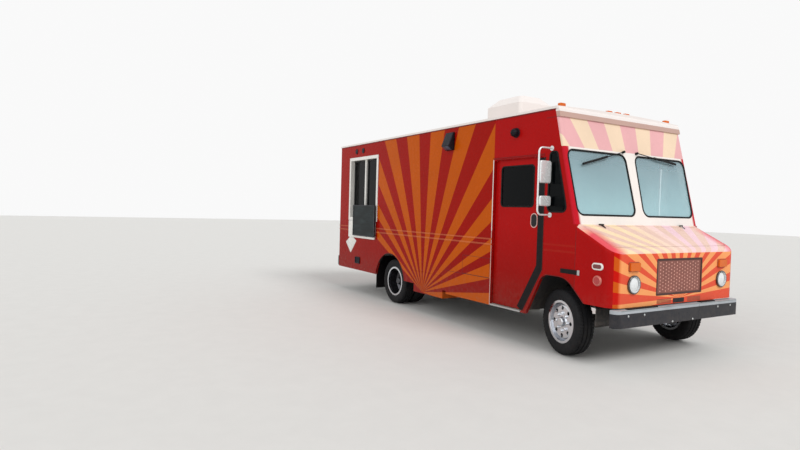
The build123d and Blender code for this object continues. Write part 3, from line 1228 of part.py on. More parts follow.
def leaf_spring(x, y, half, seat_z):
    """Three leaves on an axle seat, the longest ending in an eye at each hanger."""
    spring = None
    for number, share in enumerate((1.0, 0.72, 0.45)):
        reach = half * share
        low = seat_z + (2 - number) * SPRING_LEAF
        rise = SPRING_RISE * share * share
        leaf = Face(Wire([
            Edge.make_three_point_arc((x - reach, low + rise), (x, low), (x + reach, low + rise)),
            Edge.make_line((x + reach, low + rise), (x + reach, low + rise + SPRING_LEAF)),
            Edge.make_three_point_arc(
                (x + reach, low + rise + SPRING_LEAF), (x, low + SPRING_LEAF),
                (x - reach, low + rise + SPRING_LEAF),
            ),
            Edge.make_line((x - reach, low + rise + SPRING_LEAF), (x - reach, low + rise)),
        ]))
        solid = Pos(0, y - SPRING_WIDTH / 2, 0) * extrude(
            Plane.XZ * leaf, amount=SPRING_WIDTH, dir=(0, 1, 0),
        )
        spring = solid if spring is None else spring + solid
    spring += block(
        (x - 60, x + 60), (y - SPRING_WIDTH / 2 - 6, y + SPRING_WIDTH / 2 + 6),
        (seat_z, seat_z + 3 * SPRING_LEAF + 10),
    )
    for end in (-1, 1):
        eye_x = x + end * half
        eye_z = seat_z + 2 * SPRING_LEAF + SPRING_RISE
        spring += rod(
            (eye_x, y - SPRING_WIDTH / 2, eye_z + 8), (eye_x, y + SPRING_WIDTH / 2, eye_z + 8), 20,
        )
        inner = -RAIL_Y if y < 0 else RAIL_Y
        spring += block(
            (eye_x - HANGER_LENGTH / 2, eye_x + HANGER_LENGTH / 2), sorted((inner, y)),
            (eye_z - 4, eye_z + 90),
        )
    return spring


springs = []
front_seat_z = axle_z - 10
for hand in (-1, 1):
    springs.append(leaf_spring(FRONT_AXLE_X, hand * FRONT_SPRING_Y, FRONT_SPRING_HALF, front_seat_z))
    springs.append(leaf_spring(REAR_AXLE_X, hand * REAR_SPRING_Y, REAR_SPRING_HALF, axle_z + AXLE_TUBE))
add("leaf_springs", *springs)


# Wheels


def tyre(x, y):
    """A tyre of flat bands: bead, widest place of the wall, tread edge."""
    half = [
        (TYRE_BEAD_HALF_WIDTH, BEAD_RADIUS + SEAT_GAP, 0), (TYRE_HALF_WIDTH, SIDEWALL_RADIUS, 0),
        (TREAD_HALF_WIDTH, WHEEL_RADIUS, 0),
    ]
    points = [(-u, v, r) for u, v, r in reversed(half)]
    return turned(half + points, (x, y, WHEEL_RADIUS))


def rim(x, y, outward, front):
    """A rim with its disc: convex on the front wheels, dished on the rear ones."""
    barrel = [
        (-RIM_HALF_WIDTH, BEAD_RADIUS - RIM_THICKNESS, 0), (-RIM_HALF_WIDTH, RIM_FLANGE_RADIUS, 0),
        (-BEAD_HALF_WIDTH - SEAT_GAP, RIM_FLANGE_RADIUS, 0), (-BEAD_HALF_WIDTH - SEAT_GAP, BEAD_RADIUS, 0),
        (BEAD_HALF_WIDTH + SEAT_GAP, BEAD_RADIUS, 0), (BEAD_HALF_WIDTH + SEAT_GAP, RIM_FLANGE_RADIUS, 0),
        (RIM_HALF_WIDTH, RIM_FLANGE_RADIUS, 0), (RIM_HALF_WIDTH, BEAD_RADIUS - RIM_THICKNESS, 0),
    ]
    result = turned(barrel, (0, 0, 0))
    inner = BEAD_RADIUS - RIM_THICKNESS + 4
    dished = (REAR_OUTER_Y - REAR_INNER_Y) / 2 - DISC_THICKNESS
    face, bend = (FRONT_DISC_OUT, FRONT_DISC_ROOT) if front else (dished, REAR_DISC_ROOT)
    disc = [
        (bend, inner, 0), (face, HAND_HOLE_CIRCLE + 25, 30.0), (face, HUB_RADIUS - 10, 0),
        (face + DISC_THICKNESS, HUB_RADIUS - 10, 0), (face + DISC_THICKNESS, HAND_HOLE_CIRCLE + 31, 30.0),
        (bend + DISC_THICKNESS, inner, 0),
    ]
    result += turned(disc, (0, 0, 0))
    for number in range(HAND_HOLES):
        turn = Rot(0, 360 / HAND_HOLES * number, 0)
        result -= turn * Pos(0, face, HAND_HOLE_CIRCLE) * Rot(90, 0, 0) * Cylinder(HAND_HOLE_RADIUS, 120)
    return Pos(x, y, WHEEL_RADIUS) * (result if outward > 0 else left(result))


def hub(x, inner, outer, cap, hand):
    """The hub and brake drum between two places across the vehicle, closed by a cap."""
    points = [
        (inner, HUB_BORE, 0), (inner, DRUM_RADIUS, 0), (inner + 80, DRUM_RADIUS, 0),
        (inner + 84, HUB_RADIUS, 0),
        (outer, HUB_RADIUS, 0), (outer + cap, HUB_RADIUS - HUB_CHAMFER, 14.0), (outer + cap, 0, 0),
        (outer - 6, 0, 0), (outer - 6, HUB_BORE, 0),
    ]
    shape = turned(points, (x, 0, WHEEL_RADIUS))
    return shape if hand > 0 else left(shape)


def studs(x, face, hand):
    result = None
    for number in range(STUDS):
        angle = 2 * math.pi * number / STUDS
        place = (x + STUD_CIRCLE * math.cos(angle), WHEEL_RADIUS + STUD_CIRCLE * math.sin(angle))
        stud = rod(
            (place[0], hand * (face - 4), place[1]), (place[0], hand * (face + STUD_LENGTH), place[1]),
            STUD_RADIUS,
        )
        result = stud if result is None else result + stud
    return result


for name, hand in (("right", -1), ("left", 1)):
    add("tyre_front_" + name, steered(tyre(FRONT_AXLE_X, hand * FRONT_TRACK_Y), hand))
    wheel = rim(FRONT_AXLE_X, hand * FRONT_TRACK_Y, hand, True)
    inner = KINGPIN_Y + BEAM_EYE + YOKE_PLATE + 2 * MOVING_GAP
    wheel += hub(FRONT_AXLE_X, inner, FRONT_TRACK_Y + FRONT_HUB_OUT, FRONT_HUB_CAP, hand)
    wheel += studs(FRONT_AXLE_X, FRONT_TRACK_Y + FRONT_DISC_OUT + DISC_THICKNESS, hand)
    add("rim_front_" + name, steered(wheel, hand))
    add(
        "tyres_rear_" + name, tyre(REAR_AXLE_X, hand * REAR_OUTER_Y),
        tyre(REAR_AXLE_X, hand * REAR_INNER_Y),
    )
    wheel = rim(
        REAR_AXLE_X, hand * REAR_OUTER_Y, -hand, False,
    ) + rim(REAR_AXLE_X, hand * REAR_INNER_Y, hand, False)
    wheel += hub(REAR_AXLE_X, BACKING_Y + MOVING_GAP, REAR_OUTER_Y - 5, REAR_HUB_CAP, hand)
    wheel += studs(REAR_AXLE_X, (REAR_OUTER_Y + REAR_INNER_Y) / 2 + DISC_THICKNESS, hand)
    add("rims_rear_" + name, wheel)

# Rear doors
rear_left_door = slab(
    "X",
    rectangle(
        (MOVING_GAP / 2, REAR_DOOR_HALF - MOVING_GAP),
        (REAR_DOOR_BOTTOM_Z + MOVING_GAP, REAR_DOOR_TOP_Z - MOVING_GAP),
    ),
    REAR_X, REAR_X + WALL,
)
rear_window = rectangle(
    (REAR_WINDOW_MARGIN, REAR_DOOR_HALF - REAR_WINDOW_MARGIN), (REAR_WINDOW_BOTTOM_Z, REAR_WINDOW_TOP_Z),
    40.0,
)
rear_left_door -= slab("X", rear_window, REAR_X - CUT, REAR_X + WALL + CUT)
rear_axis_x = REAR_X - REAR_AXIS_OUT
rear_axis_y = REAR_DOOR_HALF - REAR_AXIS_SIDE
rear_frame_node = NODES["rear_frame"][0]
for z in REAR_HINGE_ROWS:
    for hand in (-1, 1):
        place = Pos(rear_axis_x, hand * rear_axis_y, z)
        rear_frame_node += place * fixed_knuckles
        for shift in (-1, 1):
            z_mid = z + shift * HINGE_KNUCKLE
            y_near, y_far = hand * rear_axis_y, hand * (REAR_DOOR_HALF + HINGE_LEAF)
            span = (z_mid - HINGE_KNUCKLE / 2 + 1, z_mid + HINGE_KNUCKLE / 2 - 1)
            rear_frame_node += block(
                (REAR_X - HINGE_LEAF_THICKNESS, REAR_X + 2), sorted((hand * (REAR_DOOR_HALF + 4), y_far)),
                span,
            )
            rear_frame_node += block(
                (rear_axis_x - 3, REAR_X), sorted((y_near + hand * 5, hand * (REAR_DOOR_HALF + 14))), span,
            )
    span = (z - HINGE_KNUCKLE / 2 + 1, z + HINGE_KNUCKLE / 2 - 1)
    rear_left_door += Pos(rear_axis_x, rear_axis_y, z) * moving_knuckle
    rear_left_door += block(
        (REAR_X - HINGE_LEAF_THICKNESS, REAR_X + 2),
        (rear_axis_y - 8 - 4 * HINGE_LEAF, REAR_DOOR_HALF - MOVING_GAP - 2), span,
    )
    rear_left_door += block((rear_axis_x - 3, REAR_X), (rear_axis_y - 20, rear_axis_y - 5), span)
NODES["rear_frame"] = [rear_frame_node]
rear_pane = rectangle(
    (REAR_WINDOW_MARGIN + SEAT_GAP, REAR_DOOR_HALF - REAR_WINDOW_MARGIN - SEAT_GAP),
    (REAR_WINDOW_BOTTOM_Z + SEAT_GAP, REAR_WINDOW_TOP_Z - SEAT_GAP), 40.0,
)
rear_glass = slab("X", rear_pane, REAR_X + GLASS_INSET, REAR_X + GLASS_INSET + GLASS_THICKNESS)
add("rear_door_left", rear_left_door, rear_glass)
add("rear_door_right", left(rear_left_door), left(rear_glass))

# Mirrors
wall_y = -HALF_WIDTH - SEAT_GAP
tube_y = -HALF_WIDTH - MIRROR_REACH
path = FilletPolyline(
    (MIRROR_X, wall_y, MIRROR_TOP_Z), (MIRROR_X, tube_y, MIRROR_TOP_Z),
    (MIRROR_X, tube_y, MIRROR_BOTTOM_Z), (MIRROR_X, wall_y, MIRROR_BOTTOM_Z), radius=MIRROR_BEND,
)
tube = sweep(Plane((MIRROR_X, wall_y, MIRROR_TOP_Z), z_dir=(0, -1, 0)) * Circle(MIRROR_TUBE), path=path)
for z in (MIRROR_TOP_Z, MIRROR_BOTTOM_Z):
    tube += rod((MIRROR_X, wall_y, z), (MIRROR_X, wall_y - 8, z), MIRROR_FOOT)
heads = []
for low, high, depth in MIRROR_HEADS:
    across = (tube_y + MIRROR_TUBE + SEAT_GAP, tube_y + MIRROR_TUBE + MIRROR_WIDTH)
    head = slab(
        "X", rectangle(across, (low, high), MIRROR_CORNER), MIRROR_X - depth / 2, MIRROR_X + depth / 2,
    )
    head = fillet(head.faces().sort_by(Axis.X)[-1].edges(), MIRROR_ROUND)
    heads.extend(both(head))
add("mirrors", *both(tube), *heads)

# Tail lamps and mud flaps
for hand in (-1, 1):
    for z in TAIL_LAMP_ROWS:
        place = Pos(REAR_X - TAIL_LAMP_DEPTH / 2 - SEAT_GAP, hand * TAIL_LAMP_Y, z)
        body_lamps.append(place * Rot(0, 90, 0) * Cylinder(TAIL_LAMP_RADIUS, TAIL_LAMP_DEPTH))
add("body_lamps", *body_lamps)
flap = block(
    (REAR_WELL_REAR_X - 22 - FLAP_THICKNESS, REAR_WELL_REAR_X - 22), (-INNER + 12, -REAR_WELL_INNER_Y - 30),
    (FLAP_BOTTOM_Z, FLOOR_BOTTOM_Z - SEAT_GAP),
)
add("mud_flaps", *both(flap))

# Wipers, parked across the tops of the panes
wipers = []
for root_y, tip_y, hang in WIPERS:
    tip_z = WIPER_Z - hang
    spindle = (rake_x(WIPER_Z) + SEAT_GAP, root_y, WIPER_Z)
    boss = (rake_x(WIPER_Z) + WIPER_REACH, root_y, WIPER_Z + 8)
    tip = (rake_x(tip_z) + WIPER_LIFT + WIPER_ARM, tip_y, tip_z)
    wiper = rod(spindle, boss, WIPER_BOSS) + rod((boss[0] - 8, root_y, WIPER_Z + 6), tip, WIPER_ARM)
    middle_z = (boss[2] + tip_z) / 2
    middle = (rake_x(middle_z) + WIPER_LIFT, (root_y + tip_y) / 2, middle_z)
    wiper += rod(middle, (rake_x(tip_z) + WIPER_LIFT, tip_y, tip_z), WIPER_BLADE)
    wipers.append(wiper)
add("wipers", *wipers)

fittings = []
for x, z, radius in ROUND_VENTS:
    place = Pos(x, -HALF_WIDTH - ROUND_VENT_DEPTH / 2 - SEAT_GAP, z)
    fittings.append(place * Rot(90, 0, 0) * Cylinder(radius, ROUND_VENT_DEPTH))
for x, z, length, height, depth in WALL_BOXES:
    outer = rectangle((x - length / 2, x + length / 2), (z - height / 2, z + height / 2), WALL_BOX_CORNER)
    fittings.append(slab("Y", outer, -HALF_WIDTH - depth, -HALF_WIDTH - SEAT_GAP))
add("wall_fittings", *fittings)

# Fuel tank and exhaust
tank_section = rectangle((-TANK_OUTER_Y, -RAIL_Y - TANK_GAP), (TANK_BOTTOM_Z, TANK_TOP_Z), TANK_CORNER)
tank = slab("X", tank_section, TANK_REAR_X, TANK_FRONT_X)
for x in (TANK_REAR_X + TANK_STRAP_INSET, TANK_FRONT_X - TANK_STRAP_INSET):
    strap = (x - TANK_STRAP / 2, x + TANK_STRAP / 2)
    tank += block(strap, (-RAIL_Y - TANK_GAP - 4, -RAIL_Y), (TANK_BOTTOM_Z + 40, TANK_TOP_Z - 10))
add("fuel_tank", tank)


def pipe_point(x):
    return (x, EXHAUST_Y, EXHAUST_Z)


muffler = rod(pipe_point(MUFFLER_FRONT_X), pipe_point(MUFFLER_REAR_X), MUFFLER_RADIUS)
muffler += rod(pipe_point(PIPE_FRONT_X), pipe_point(MUFFLER_FRONT_X - 10), PIPE_RADIUS)
muffler += rod(pipe_point(MUFFLER_REAR_X + 10), pipe_point(TAILPIPE_X), PIPE_RADIUS)
muffler += rod(pipe_point(TAILPIPE_X), (TAILPIPE_X, TAILPIPE_END_Y, TAILPIPE_END_Z), PIPE_RADIUS)
muffler += Pos(*pipe_point(TAILPIPE_X)) * Sphere(PIPE_RADIUS)
for x in (MUFFLER_REAR_X + 100, MUFFLER_FRONT_X - 100):
    hanger = (x - MUFFLER_HANGER / 2, x + MUFFLER_HANGER / 2)
    muffler += block(hanger, (RAIL_Y, EXHAUST_Y), (EXHAUST_Z + 40, EXHAUST_Z + 80))
add("exhaust", muffler)

# Worktops inside, seen through the serving window and the rear doors
counter_back = INNER - COUNTER_GAP
counter = block(
    (COUNTER_REAR_X, COUNTER_FRONT_X), (COUNTER_INNER_Y, counter_back),
    (REAR_WELL_TOP_Z + 10, COUNTER_TOP_Z),
)
for foot in (
    (COUNTER_REAR_X, REAR_WELL_REAR_X - COUNTER_GAP), (REAR_WELL_FRONT_X + COUNTER_GAP, COUNTER_FRONT_X),
):
    counter += block(foot, (COUNTER_FOOT_Y, counter_back), (FLOOR_TOP_Z, COUNTER_FOOT_Z))
serving_counter = block(
    (COUNTER_REAR_X, REAR_WELL_REAR_X - COUNTER_GAP), (frame_out + WINDOW_DEPTH + 4, SERVING_COUNTER_Y),
    (FLOOR_TOP_Z, SERVING_COUNTER_TOP_Z),
)
add("kitchen_counters", counter, serving_counter)

for name, solids in NODES.items():
    shape = solids[0] if len(solids) == 1 else Compound(children=solids)
    export_step(shape, os.path.join("parts", name + ".step"))
print(len(NODES), "nodes")
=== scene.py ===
import math

import bmesh
import bpy
from mathutils import Matrix, Vector


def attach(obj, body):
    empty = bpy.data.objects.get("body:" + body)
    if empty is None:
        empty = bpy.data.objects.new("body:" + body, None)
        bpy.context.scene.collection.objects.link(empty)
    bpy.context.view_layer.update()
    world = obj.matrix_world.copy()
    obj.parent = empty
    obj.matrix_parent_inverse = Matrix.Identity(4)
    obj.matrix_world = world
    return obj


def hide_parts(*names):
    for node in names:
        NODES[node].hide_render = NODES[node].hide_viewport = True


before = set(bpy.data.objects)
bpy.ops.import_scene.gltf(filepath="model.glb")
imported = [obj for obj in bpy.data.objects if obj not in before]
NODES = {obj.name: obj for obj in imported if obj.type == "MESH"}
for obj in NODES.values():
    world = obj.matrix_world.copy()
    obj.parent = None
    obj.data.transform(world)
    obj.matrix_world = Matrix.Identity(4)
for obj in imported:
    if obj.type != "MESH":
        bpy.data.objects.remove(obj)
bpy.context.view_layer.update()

# Sizes are in millimetres, in the part's own frame: X forward, Y to the driver's left, Z up.
MM = 0.001

# Body shell
HALF_WIDTH = 1180
REAR_X = -3460
COWL_X = 2968
COWL_Z = 1572
RAKE = math.radians(13.9)
DOOR_TOP_Z = 2378
DOOR_HANDLE = (2240, 1594)
MIRROR_X = 2557
ROOF_EDGE_Z = 2980
ROOF_CROWN = 28
ROOF_HALF = 1194
FACE_X = 3503
FACE_TOP_Z = 1298
HOOD_SLOPE = (COWL_Z - FACE_TOP_Z) / (FACE_X - COWL_X)
BUMPER_X = 3560
BUMPER_TOP_Z = 667

# Where paint and glass change their look: a place each, or the two ends of a fade
MIDDLE = (300, 0, 1300)
LINING_Y = 1141
FLOOR_Z = 780
UNDERSIDE_Z = 900
RED_FADE_Z = (500, 1500)
GLASS_FADE_Z = (1750, 2400)
QUARTER_Y = 1150
PILLAR_Y = (1090, 1125)
HEADER_FOOT_Z = 2492
CORNER_BACK = 40
RIM_DISH_Y = (1060, 1090)
BUMPER_BAND_Z = 627
ROOF_LIP = (2500, 2915)

# Windows: corners as u, v and radius
PANE_CORNERS = [(-80, 1685, 95), (-97, 2455, 95), (-1140, 2455, 95), (-1120, 1685, 95)]
QUARTER_CORNERS = [(2507, 1712, 60), (2528, 2432, 50), (2640, 2432, 45), (2818, 1712, 60)]
DOOR_PANE_CORNERS = [(1609, 1770, 45), (1609, 2295, 45), (2217, 2295, 45), (2217, 1770, 45)]
DOOR_FACE_Y = 1132
DOOR_EDGE_X = 2425
DOOR_KNEE_Z = 1000
DOOR_FOOT_Z = 440
DOOR_SLOPE = 340 / 592

# Wheels
WHEEL_RADIUS = 395
FRONT_AXLE_X = 2762
REAR_AXLE_X = -1226
OUTER_TRACK_Y = 1010
INNER_TRACK_Y = 755
KINGPIN_Y = 870
WHEELS_TURNED = math.radians(-13)
STUDS = 8
STUD_CIRCLE = 105
FRONT_STUD_Y = 1082
REAR_STUD_Y = 894.5

# Wheel arches: the rear one as X, Z and radius, the front one as corners
REAR_ARCH = (-1302, 361, 528)
WALL_FOOT_Z = 455
FRONT_ARCH = [(2192, 408, 0), (2462, 944, 160), (2845, 944, 300), (3114, 680, 0)]

# Lamps, as Y and Z, or Z alone on the fenders, with a radius or a length and height
HEADLAMP = (847, 930, 88)
SIGNAL = (851, 1128, 165, 90)
FENDER_LAMP_X = 3293
FENDER_OVAL = (1119, 134, 65)
FENDER_ROUND = (962, 50)
TAIL_LAMP_Y = 960
TAIL_LAMP_ROWS = (1000, 1110, 2780)

# Windows in the rear doors: middle across, middle height, half sizes and corner
REAR_WINDOW = (380, 2050, 230, 300, 40)

# Serving window, shelf and board, as rear X, front X, bottom Z, top Z
SERVING_PANES = [(-2967.7, -2445.8, 1503.3, 2642.7), (-2395.2, -1873.3, 1503.3, 2642.7)]
SERVING_PANE_Y = 1094
SHELF = (-2973, -1863, 1100, 1435)
SHELF_Y = 1211.3
BOARD_EDGES = (-2733, -1828, 1144, 1750)
BOARD_Y = 1233.6


# Shaders

def tone(red, green, blue):
    """A colour as it shows on a screen, 0 to 255, made linear."""
    parts = (red / 255, green / 255, blue / 255)
    return tuple(((part + 0.055) / 1.055) ** 2.4 if part > 10 / 255 else part / 12.92 for part in parts)


def put(tree, socket, value):
    """Links a node's output to the socket, or sets the socket's own value."""
    if isinstance(value, bpy.types.NodeSocket):
        tree.links.new(value, socket)
    elif socket.type == "RGBA":
        socket.default_value = (*value[:3], 1)
    else:
        socket.default_value = value


def node(tree, kind, *values, **settings):
    """A new shader node with its first inputs filled."""
    item = tree.nodes.new("ShaderNode" + kind)
    for key, value in settings.items():
        setattr(item, key, value)
    for socket, value in zip(item.inputs, values):
        put(tree, socket, value)
    return item


class Shader:
    """A material's nodes: each call adds one and gives its output."""

    def __init__(self, name):
        self.material = bpy.data.materials.new(name)
        self.material.use_nodes = True
        self.tree = self.material.node_tree
        self.tree.nodes.clear()
        place = self.add("TexCoord").outputs["Object"]
        self.place = self.vector("MULTIPLY", place, (1000, 1000, 1000))
        split = self.add("SeparateXYZ", self.place)
        self.x, self.y, self.z = split.outputs

    def put(self, socket, value):
        put(self.tree, socket, value)

    def add(self, kind, *values, **settings):
        return node(self.tree, kind, *values, **settings)

    def math(self, operation, *values):
        return self.add("Math", *values, operation=operation).outputs[0]

    def vector(self, operation, *values):
        return self.add("VectorMath", *values, operation=operation).outputs[0]

    def plus(self, first, last):
        return self.math("ADD", first, last)

    def minus(self, first, last):
        return self.math("SUBTRACT", first, last)

    def times(self, first, last):
        return self.math("MULTIPLY", first, last)

    def over(self, first, last):
        return self.math("DIVIDE", first, last)

    def below(self, value, edge):
        return self.math("LESS_THAN", value, edge)

    def aside(self):
        """How far from the middle plane."""
        return self.math("ABSOLUTE", self.y)

    def blend(self, share, first, last):
        """A number that goes from first to last as the share goes from 0 to 1."""
        return self.ramp(share, 0, 1, first, last)

    def ramp(self, value, low, high, first=0, last=1):
        """first below low, last above high, and a straight line between."""
        return self.add("MapRange", value, low, high, first, last).outputs[0]

    def step(self, value, edge):
        return self.math("GREATER_THAN", value, edge)

    def mix(self, factor, first, last, blend="MIX"):
        item = self.add("Mix", data_type="RGBA", blend_type=blend)
        for number, value in ((0, factor), (6, first), (7, last)):
            self.put(item.inputs[number], value)
        return item.outputs[2]

    def fill(self, item, **values):
        """Fills the node's inputs by name, with _ for a space."""
        for name, value in values.items():
            self.put(item.inputs[name.replace("_", " ")], value)
        return item

    def noise(self, size, detail=4, rough=0.55, stretch=(1, 1, 1)):
        """Cloudy values from 0 to 1 whose lumps are about size across."""
        place = self.vector("MULTIPLY", self.place, stretch)
        item = self.fill(self.add("TexNoise"), Vector=place, Scale=1 / size, Detail=detail, Roughness=rough)
        return item.outputs[0]

    def bands(self, value, edges, low, high):
        """0 or 1 by turns between the edges, on a value that runs from low to high."""
        share = self.ramp(value, low, high)
        item = self.add("ValToRGB", share)
        item.color_ramp.interpolation = "CONSTANT"
        stops = item.color_ramp.elements
        stops[0].position, stops[0].color = 0, (0, 0, 0, 1)
        stops[1].position, stops[1].color = (edges[0] - low) / (high - low), (1, 1, 1, 1)
        for index, edge in enumerate(edges[1:]):
            stop = stops.new((edge - low) / (high - low))
            level = index % 2
            stop.color = (level, level, level, 1)
        return item.outputs[0]

    def within(self, centre, half, radius):
        """1 inside a rounded block of that centre and half size on either side of the truck, 0 outside it."""
        away = self.vector("SUBTRACT", self.vector("ABSOLUTE", self.place), centre)
        away = self.vector("SUBTRACT", self.vector("ABSOLUTE", away), [size - radius for size in half])
        away = self.vector("MAXIMUM", away, (0, 0, 0))
        length = self.add("VectorMath", away, operation="LENGTH").outputs["Value"]
        return self.below(length, radius)

    def finish(self, colour, roughness=0.45, metallic=0, bump=0, grain=2, shine=0.5, coat=0, polish=0.03,
               alpha=1):
        """The surface. bump is the grain's height, shine the specular level, polish the coat's roughness."""
        shader = self.fill(
            self.add("BsdfPrincipled"), Base_Color=colour, Roughness=roughness, Metallic=metallic,
            Specular_IOR_Level=shine, Coat_Weight=coat, Coat_Roughness=polish, Alpha=alpha)
        if bump:
            height = self.noise(grain, detail=3)
            item = self.fill(self.add("Bump"), Strength=0.6, Distance=bump * MM, Height=height)
            self.put(shader.inputs["Normal"], item.outputs[0])
        out = self.add("OutputMaterial")
        self.put(out.inputs[0], shader.outputs[0])
        return self.material

    def clouded(self, colour, spread, size=260):
        """The colour, darker and paler in soft clouds."""
        level = self.ramp(self.noise(size, detail=6), 0.3, 0.7, 1 - spread, 1)
        shade = self.add("CombineColor", level, level, level).outputs[0]
        return self.mix(1, colour, shade, "MULTIPLY")

    def undercoated(self, colour):
        """Dark undercoat on what faces down, below the floor."""
        normal = self.add("SeparateXYZ", self.add("TexCoord").outputs["Normal"]).outputs[2]
        down = self.times(self.below(normal, -0.6), self.below(self.z, UNDERSIDE_Z))
        return self.mix(down, colour, UNDERCOAT)

    def dusted(self, colour, share, low=350, high=900, dust=(0.19, 0.15, 0.12)):
        """Road dust that thins out with height."""
        fade = self.ramp(self.z, low, high, share, 0)
        patch = self.ramp(self.noise(60, detail=8, rough=0.7), 0.35, 0.7)
        return self.mix(self.times(fade, patch), colour, dust)


def plain(name, colour, roughness=0.5, metallic=0, spread=0.12, bump=0.05, grain=2, dust=0, **sockets):
    """A one-colour material with clouds, grain and dust."""
    shader = Shader(name)
    base = shader.clouded(colour, spread)
    if dust:
        base = shader.dusted(base, dust)
    least, most = max(roughness - 0.08, 0.02), min(roughness + 0.1, 1)
    worn = shader.ramp(shader.noise(45, detail=6), 0.3, 0.75, least, most)
    return shader.finish(base, worn, metallic, bump, grain, **sockets)


RED = tone(174, 16, 16)
RED_SIDE = tone(158, 16, 4)
RED_LOW = tone(144, 18, 12)
ORANGE = tone(194, 86, 6)
BELT_HIGHLIGHT = tone(240, 156, 110)
FACE_RED_LIT = tone(230, 88, 62)
FACE_ORANGE_LIT = tone(250, 166, 104)
CORNER_RED = tone(200, 22, 14)
CORNER_ORANGE = tone(206, 88, 22)
CREAM = tone(255, 226, 186)
BLUSH = tone(246, 208, 216)
TAN = tone(238, 202, 186)
PINK = tone(234, 178, 180)
PINK_HIGHLIGHT = tone(232, 90, 100)
PILLAR_RED = tone(196, 26, 42)
PALE_YELLOW = tone(242, 216, 188)
IVORY = tone(243, 236, 230)
INSIDE_WHITE = tone(208, 208, 202)
UNDERCOAT = tone(44, 42, 40)
GLASS_DUST_AND_REFLECTION = tone(196, 238, 246)
GLASS_DUST_AND_REFLECTION_HIGH = tone(184, 216, 226)
REAR_PANE = tone(58, 68, 74)
GLASS_SHADE = tone(6, 9, 11)
FAR = 9999

# The belt ribs' edges in height, along which a pale highlight is painted
BELT_RIBS = (1232, 1254, 1303, 1325)

# The angles that a sunburst's rays span, in degrees
SWEEP = (-30, 210)

# The sunburst on the sides: its centre, and each ray's edge as an angle from ahead
SIDE_CENTRE = (-213, 345)
SIDE_REAR_X = -1790
SIDE_FRONT_X = 1494


def side_ray(index):
    return 86.5 + 80 * math.sin(0.0987 * (index - 9))


# The sunburst on the nose
NOSE_CENTRE_Z = 740


def nose_ray(index):
    return 88 + 6.9 * index + 4.87 * math.sin(0.39 * index)


SIDE_EDGES = [-4, 7.4, 13.9, 19.8, *[side_ray(index) for index in range(20)]]
NOSE_EDGES = [3, 8.2, *[nose_ray(index - 11.5) for index in range(24)], 168.2, 173.6, 180.5, 186.5]


# The sunburst on the header: the centre across, a height and how far down the rake from it the rays
# meet, and the width and start of a pair of rays, as tangents
HEADER_CENTRE_Y = 70
HEADER_RAY_Z = 2530
HEADER_RAY_LENGTH = 1840
HEADER_PAIR = 0.283
HEADER_START = 0.4975 + 2.83


def painted(shader, colour, inside=INSIDE_WHITE, **sockets):
    """Coach paint outside, pale lining inside, told apart by where the face looks from the truck's middle."""
    normal = shader.add("TexCoord").outputs["Normal"]
    away = shader.vector("SUBTRACT", shader.place, MIDDLE)
    outward = shader.add("VectorMath", normal, away, operation="DOT_PRODUCT").outputs["Value"]
    skin = shader.step(shader.aside(), LINING_Y)
    outside = shader.math("MAXIMUM", shader.step(outward, 0), skin)
    both = shader.mix(outside, inside, shader.clouded(colour, 0.08, 600))
    dusty = shader.undercoated(shader.dusted(both, 0.25))
    worn = shader.ramp(shader.noise(120, detail=7), 0.3, 0.75, 0.2, 0.34)
    return shader.finish(dusty, worn, 0, 0.03, 3, shine=0.05, coat=0.03, polish=0.05, **sockets)


def shaded_red(shader, upper=RED):
    """Red that darkens towards the sills: painted shade."""
    return shader.mix(shader.ramp(shader.z, *RED_FADE_Z), RED_LOW, upper)


def side_paint():
    shader = Shader("side_paint")
    up = shader.minus(shader.z, SIDE_CENTRE[1])
    along = shader.minus(shader.x, SIDE_CENTRE[0])
    angle = shader.math("DEGREES", shader.math("ARCTAN2", up, along))
    rays = shader.bands(angle, SIDE_EDGES, *SWEEP)
    ahead = shader.below(shader.x, SIDE_FRONT_X)
    behind = shader.step(shader.x, SIDE_REAR_X)
    shown = shader.times(rays, shader.times(ahead, behind))
    red = shaded_red(shader, shader.mix(ahead, RED, RED_SIDE))
    # Painted highlight: the belt ribs in a pale tint, strong on the body behind the door post and faint ahead
    # of it
    rib = shader.times(shader.bands(shader.z, BELT_RIBS, 1000, 1500), shader.blend(ahead, 0.03, 0.24))
    lining = shader.mix(shader.step(shader.z, FLOOR_Z), UNDERCOAT, INSIDE_WHITE)
    return painted(shader, shader.mix(rib, shader.mix(shown, red, ORANGE), BELT_HIGHLIGHT), lining)


def red_paint():
    shader = Shader("red_paint")
    return painted(shader, shaded_red(shader))


def rear_door_paint():
    """Red paint, and where the window is, part-clear dark grey glass: painted shade of the dark inside."""
    shader = Shader("rear_door_paint")
    y, z, half_width, half_height, corner = REAR_WINDOW
    pane = shader.within((0, y, z), (FAR, half_width - 0.2, half_height - 0.2), corner)
    red = shaded_red(shader)
    inside = shader.mix(pane, INSIDE_WHITE, REAR_PANE)
    return painted(shader, shader.mix(pane, red, REAR_PANE), inside, alpha=shader.blend(pane, 1, 0.6))


def nose_value(shader):
    """The nose's rays, unfolded over the hood and round the fenders, with the sockets for its colours."""
    back = shader.minus(FACE_X, shader.x)
    hood = shader.math("MULTIPLY_ADD", back, HOOD_SLOPE, FACE_TOP_Z)
    deep = shader.minus(hood, shader.z)
    top = shader.below(deep, 30)
    side = shader.minus(1, top)
    pitch = math.atan(HOOD_SLOPE)
    rise = shader.math("MULTIPLY_ADD", top, 1 / math.cos(pitch), shader.times(side, math.tan(pitch)))
    v = shader.math("MULTIPLY_ADD", back, rise, shader.minus(FACE_TOP_Z - NOSE_CENTRE_Z, deep))
    wrap = shader.times(shader.times(back, side), shader.math("SIGN", shader.y))
    shift = shader.times(top, shader.times(0.16, shader.minus(v, FACE_TOP_Z - NOSE_CENTRE_Z)))
    u = shader.plus(shader.plus(shader.y, wrap), shift)
    angle = shader.minus(90, shader.math("DEGREES", shader.math("ARCTAN2", u, v)))
    return shader.bands(angle, NOSE_EDGES, *SWEEP), top, back, deep


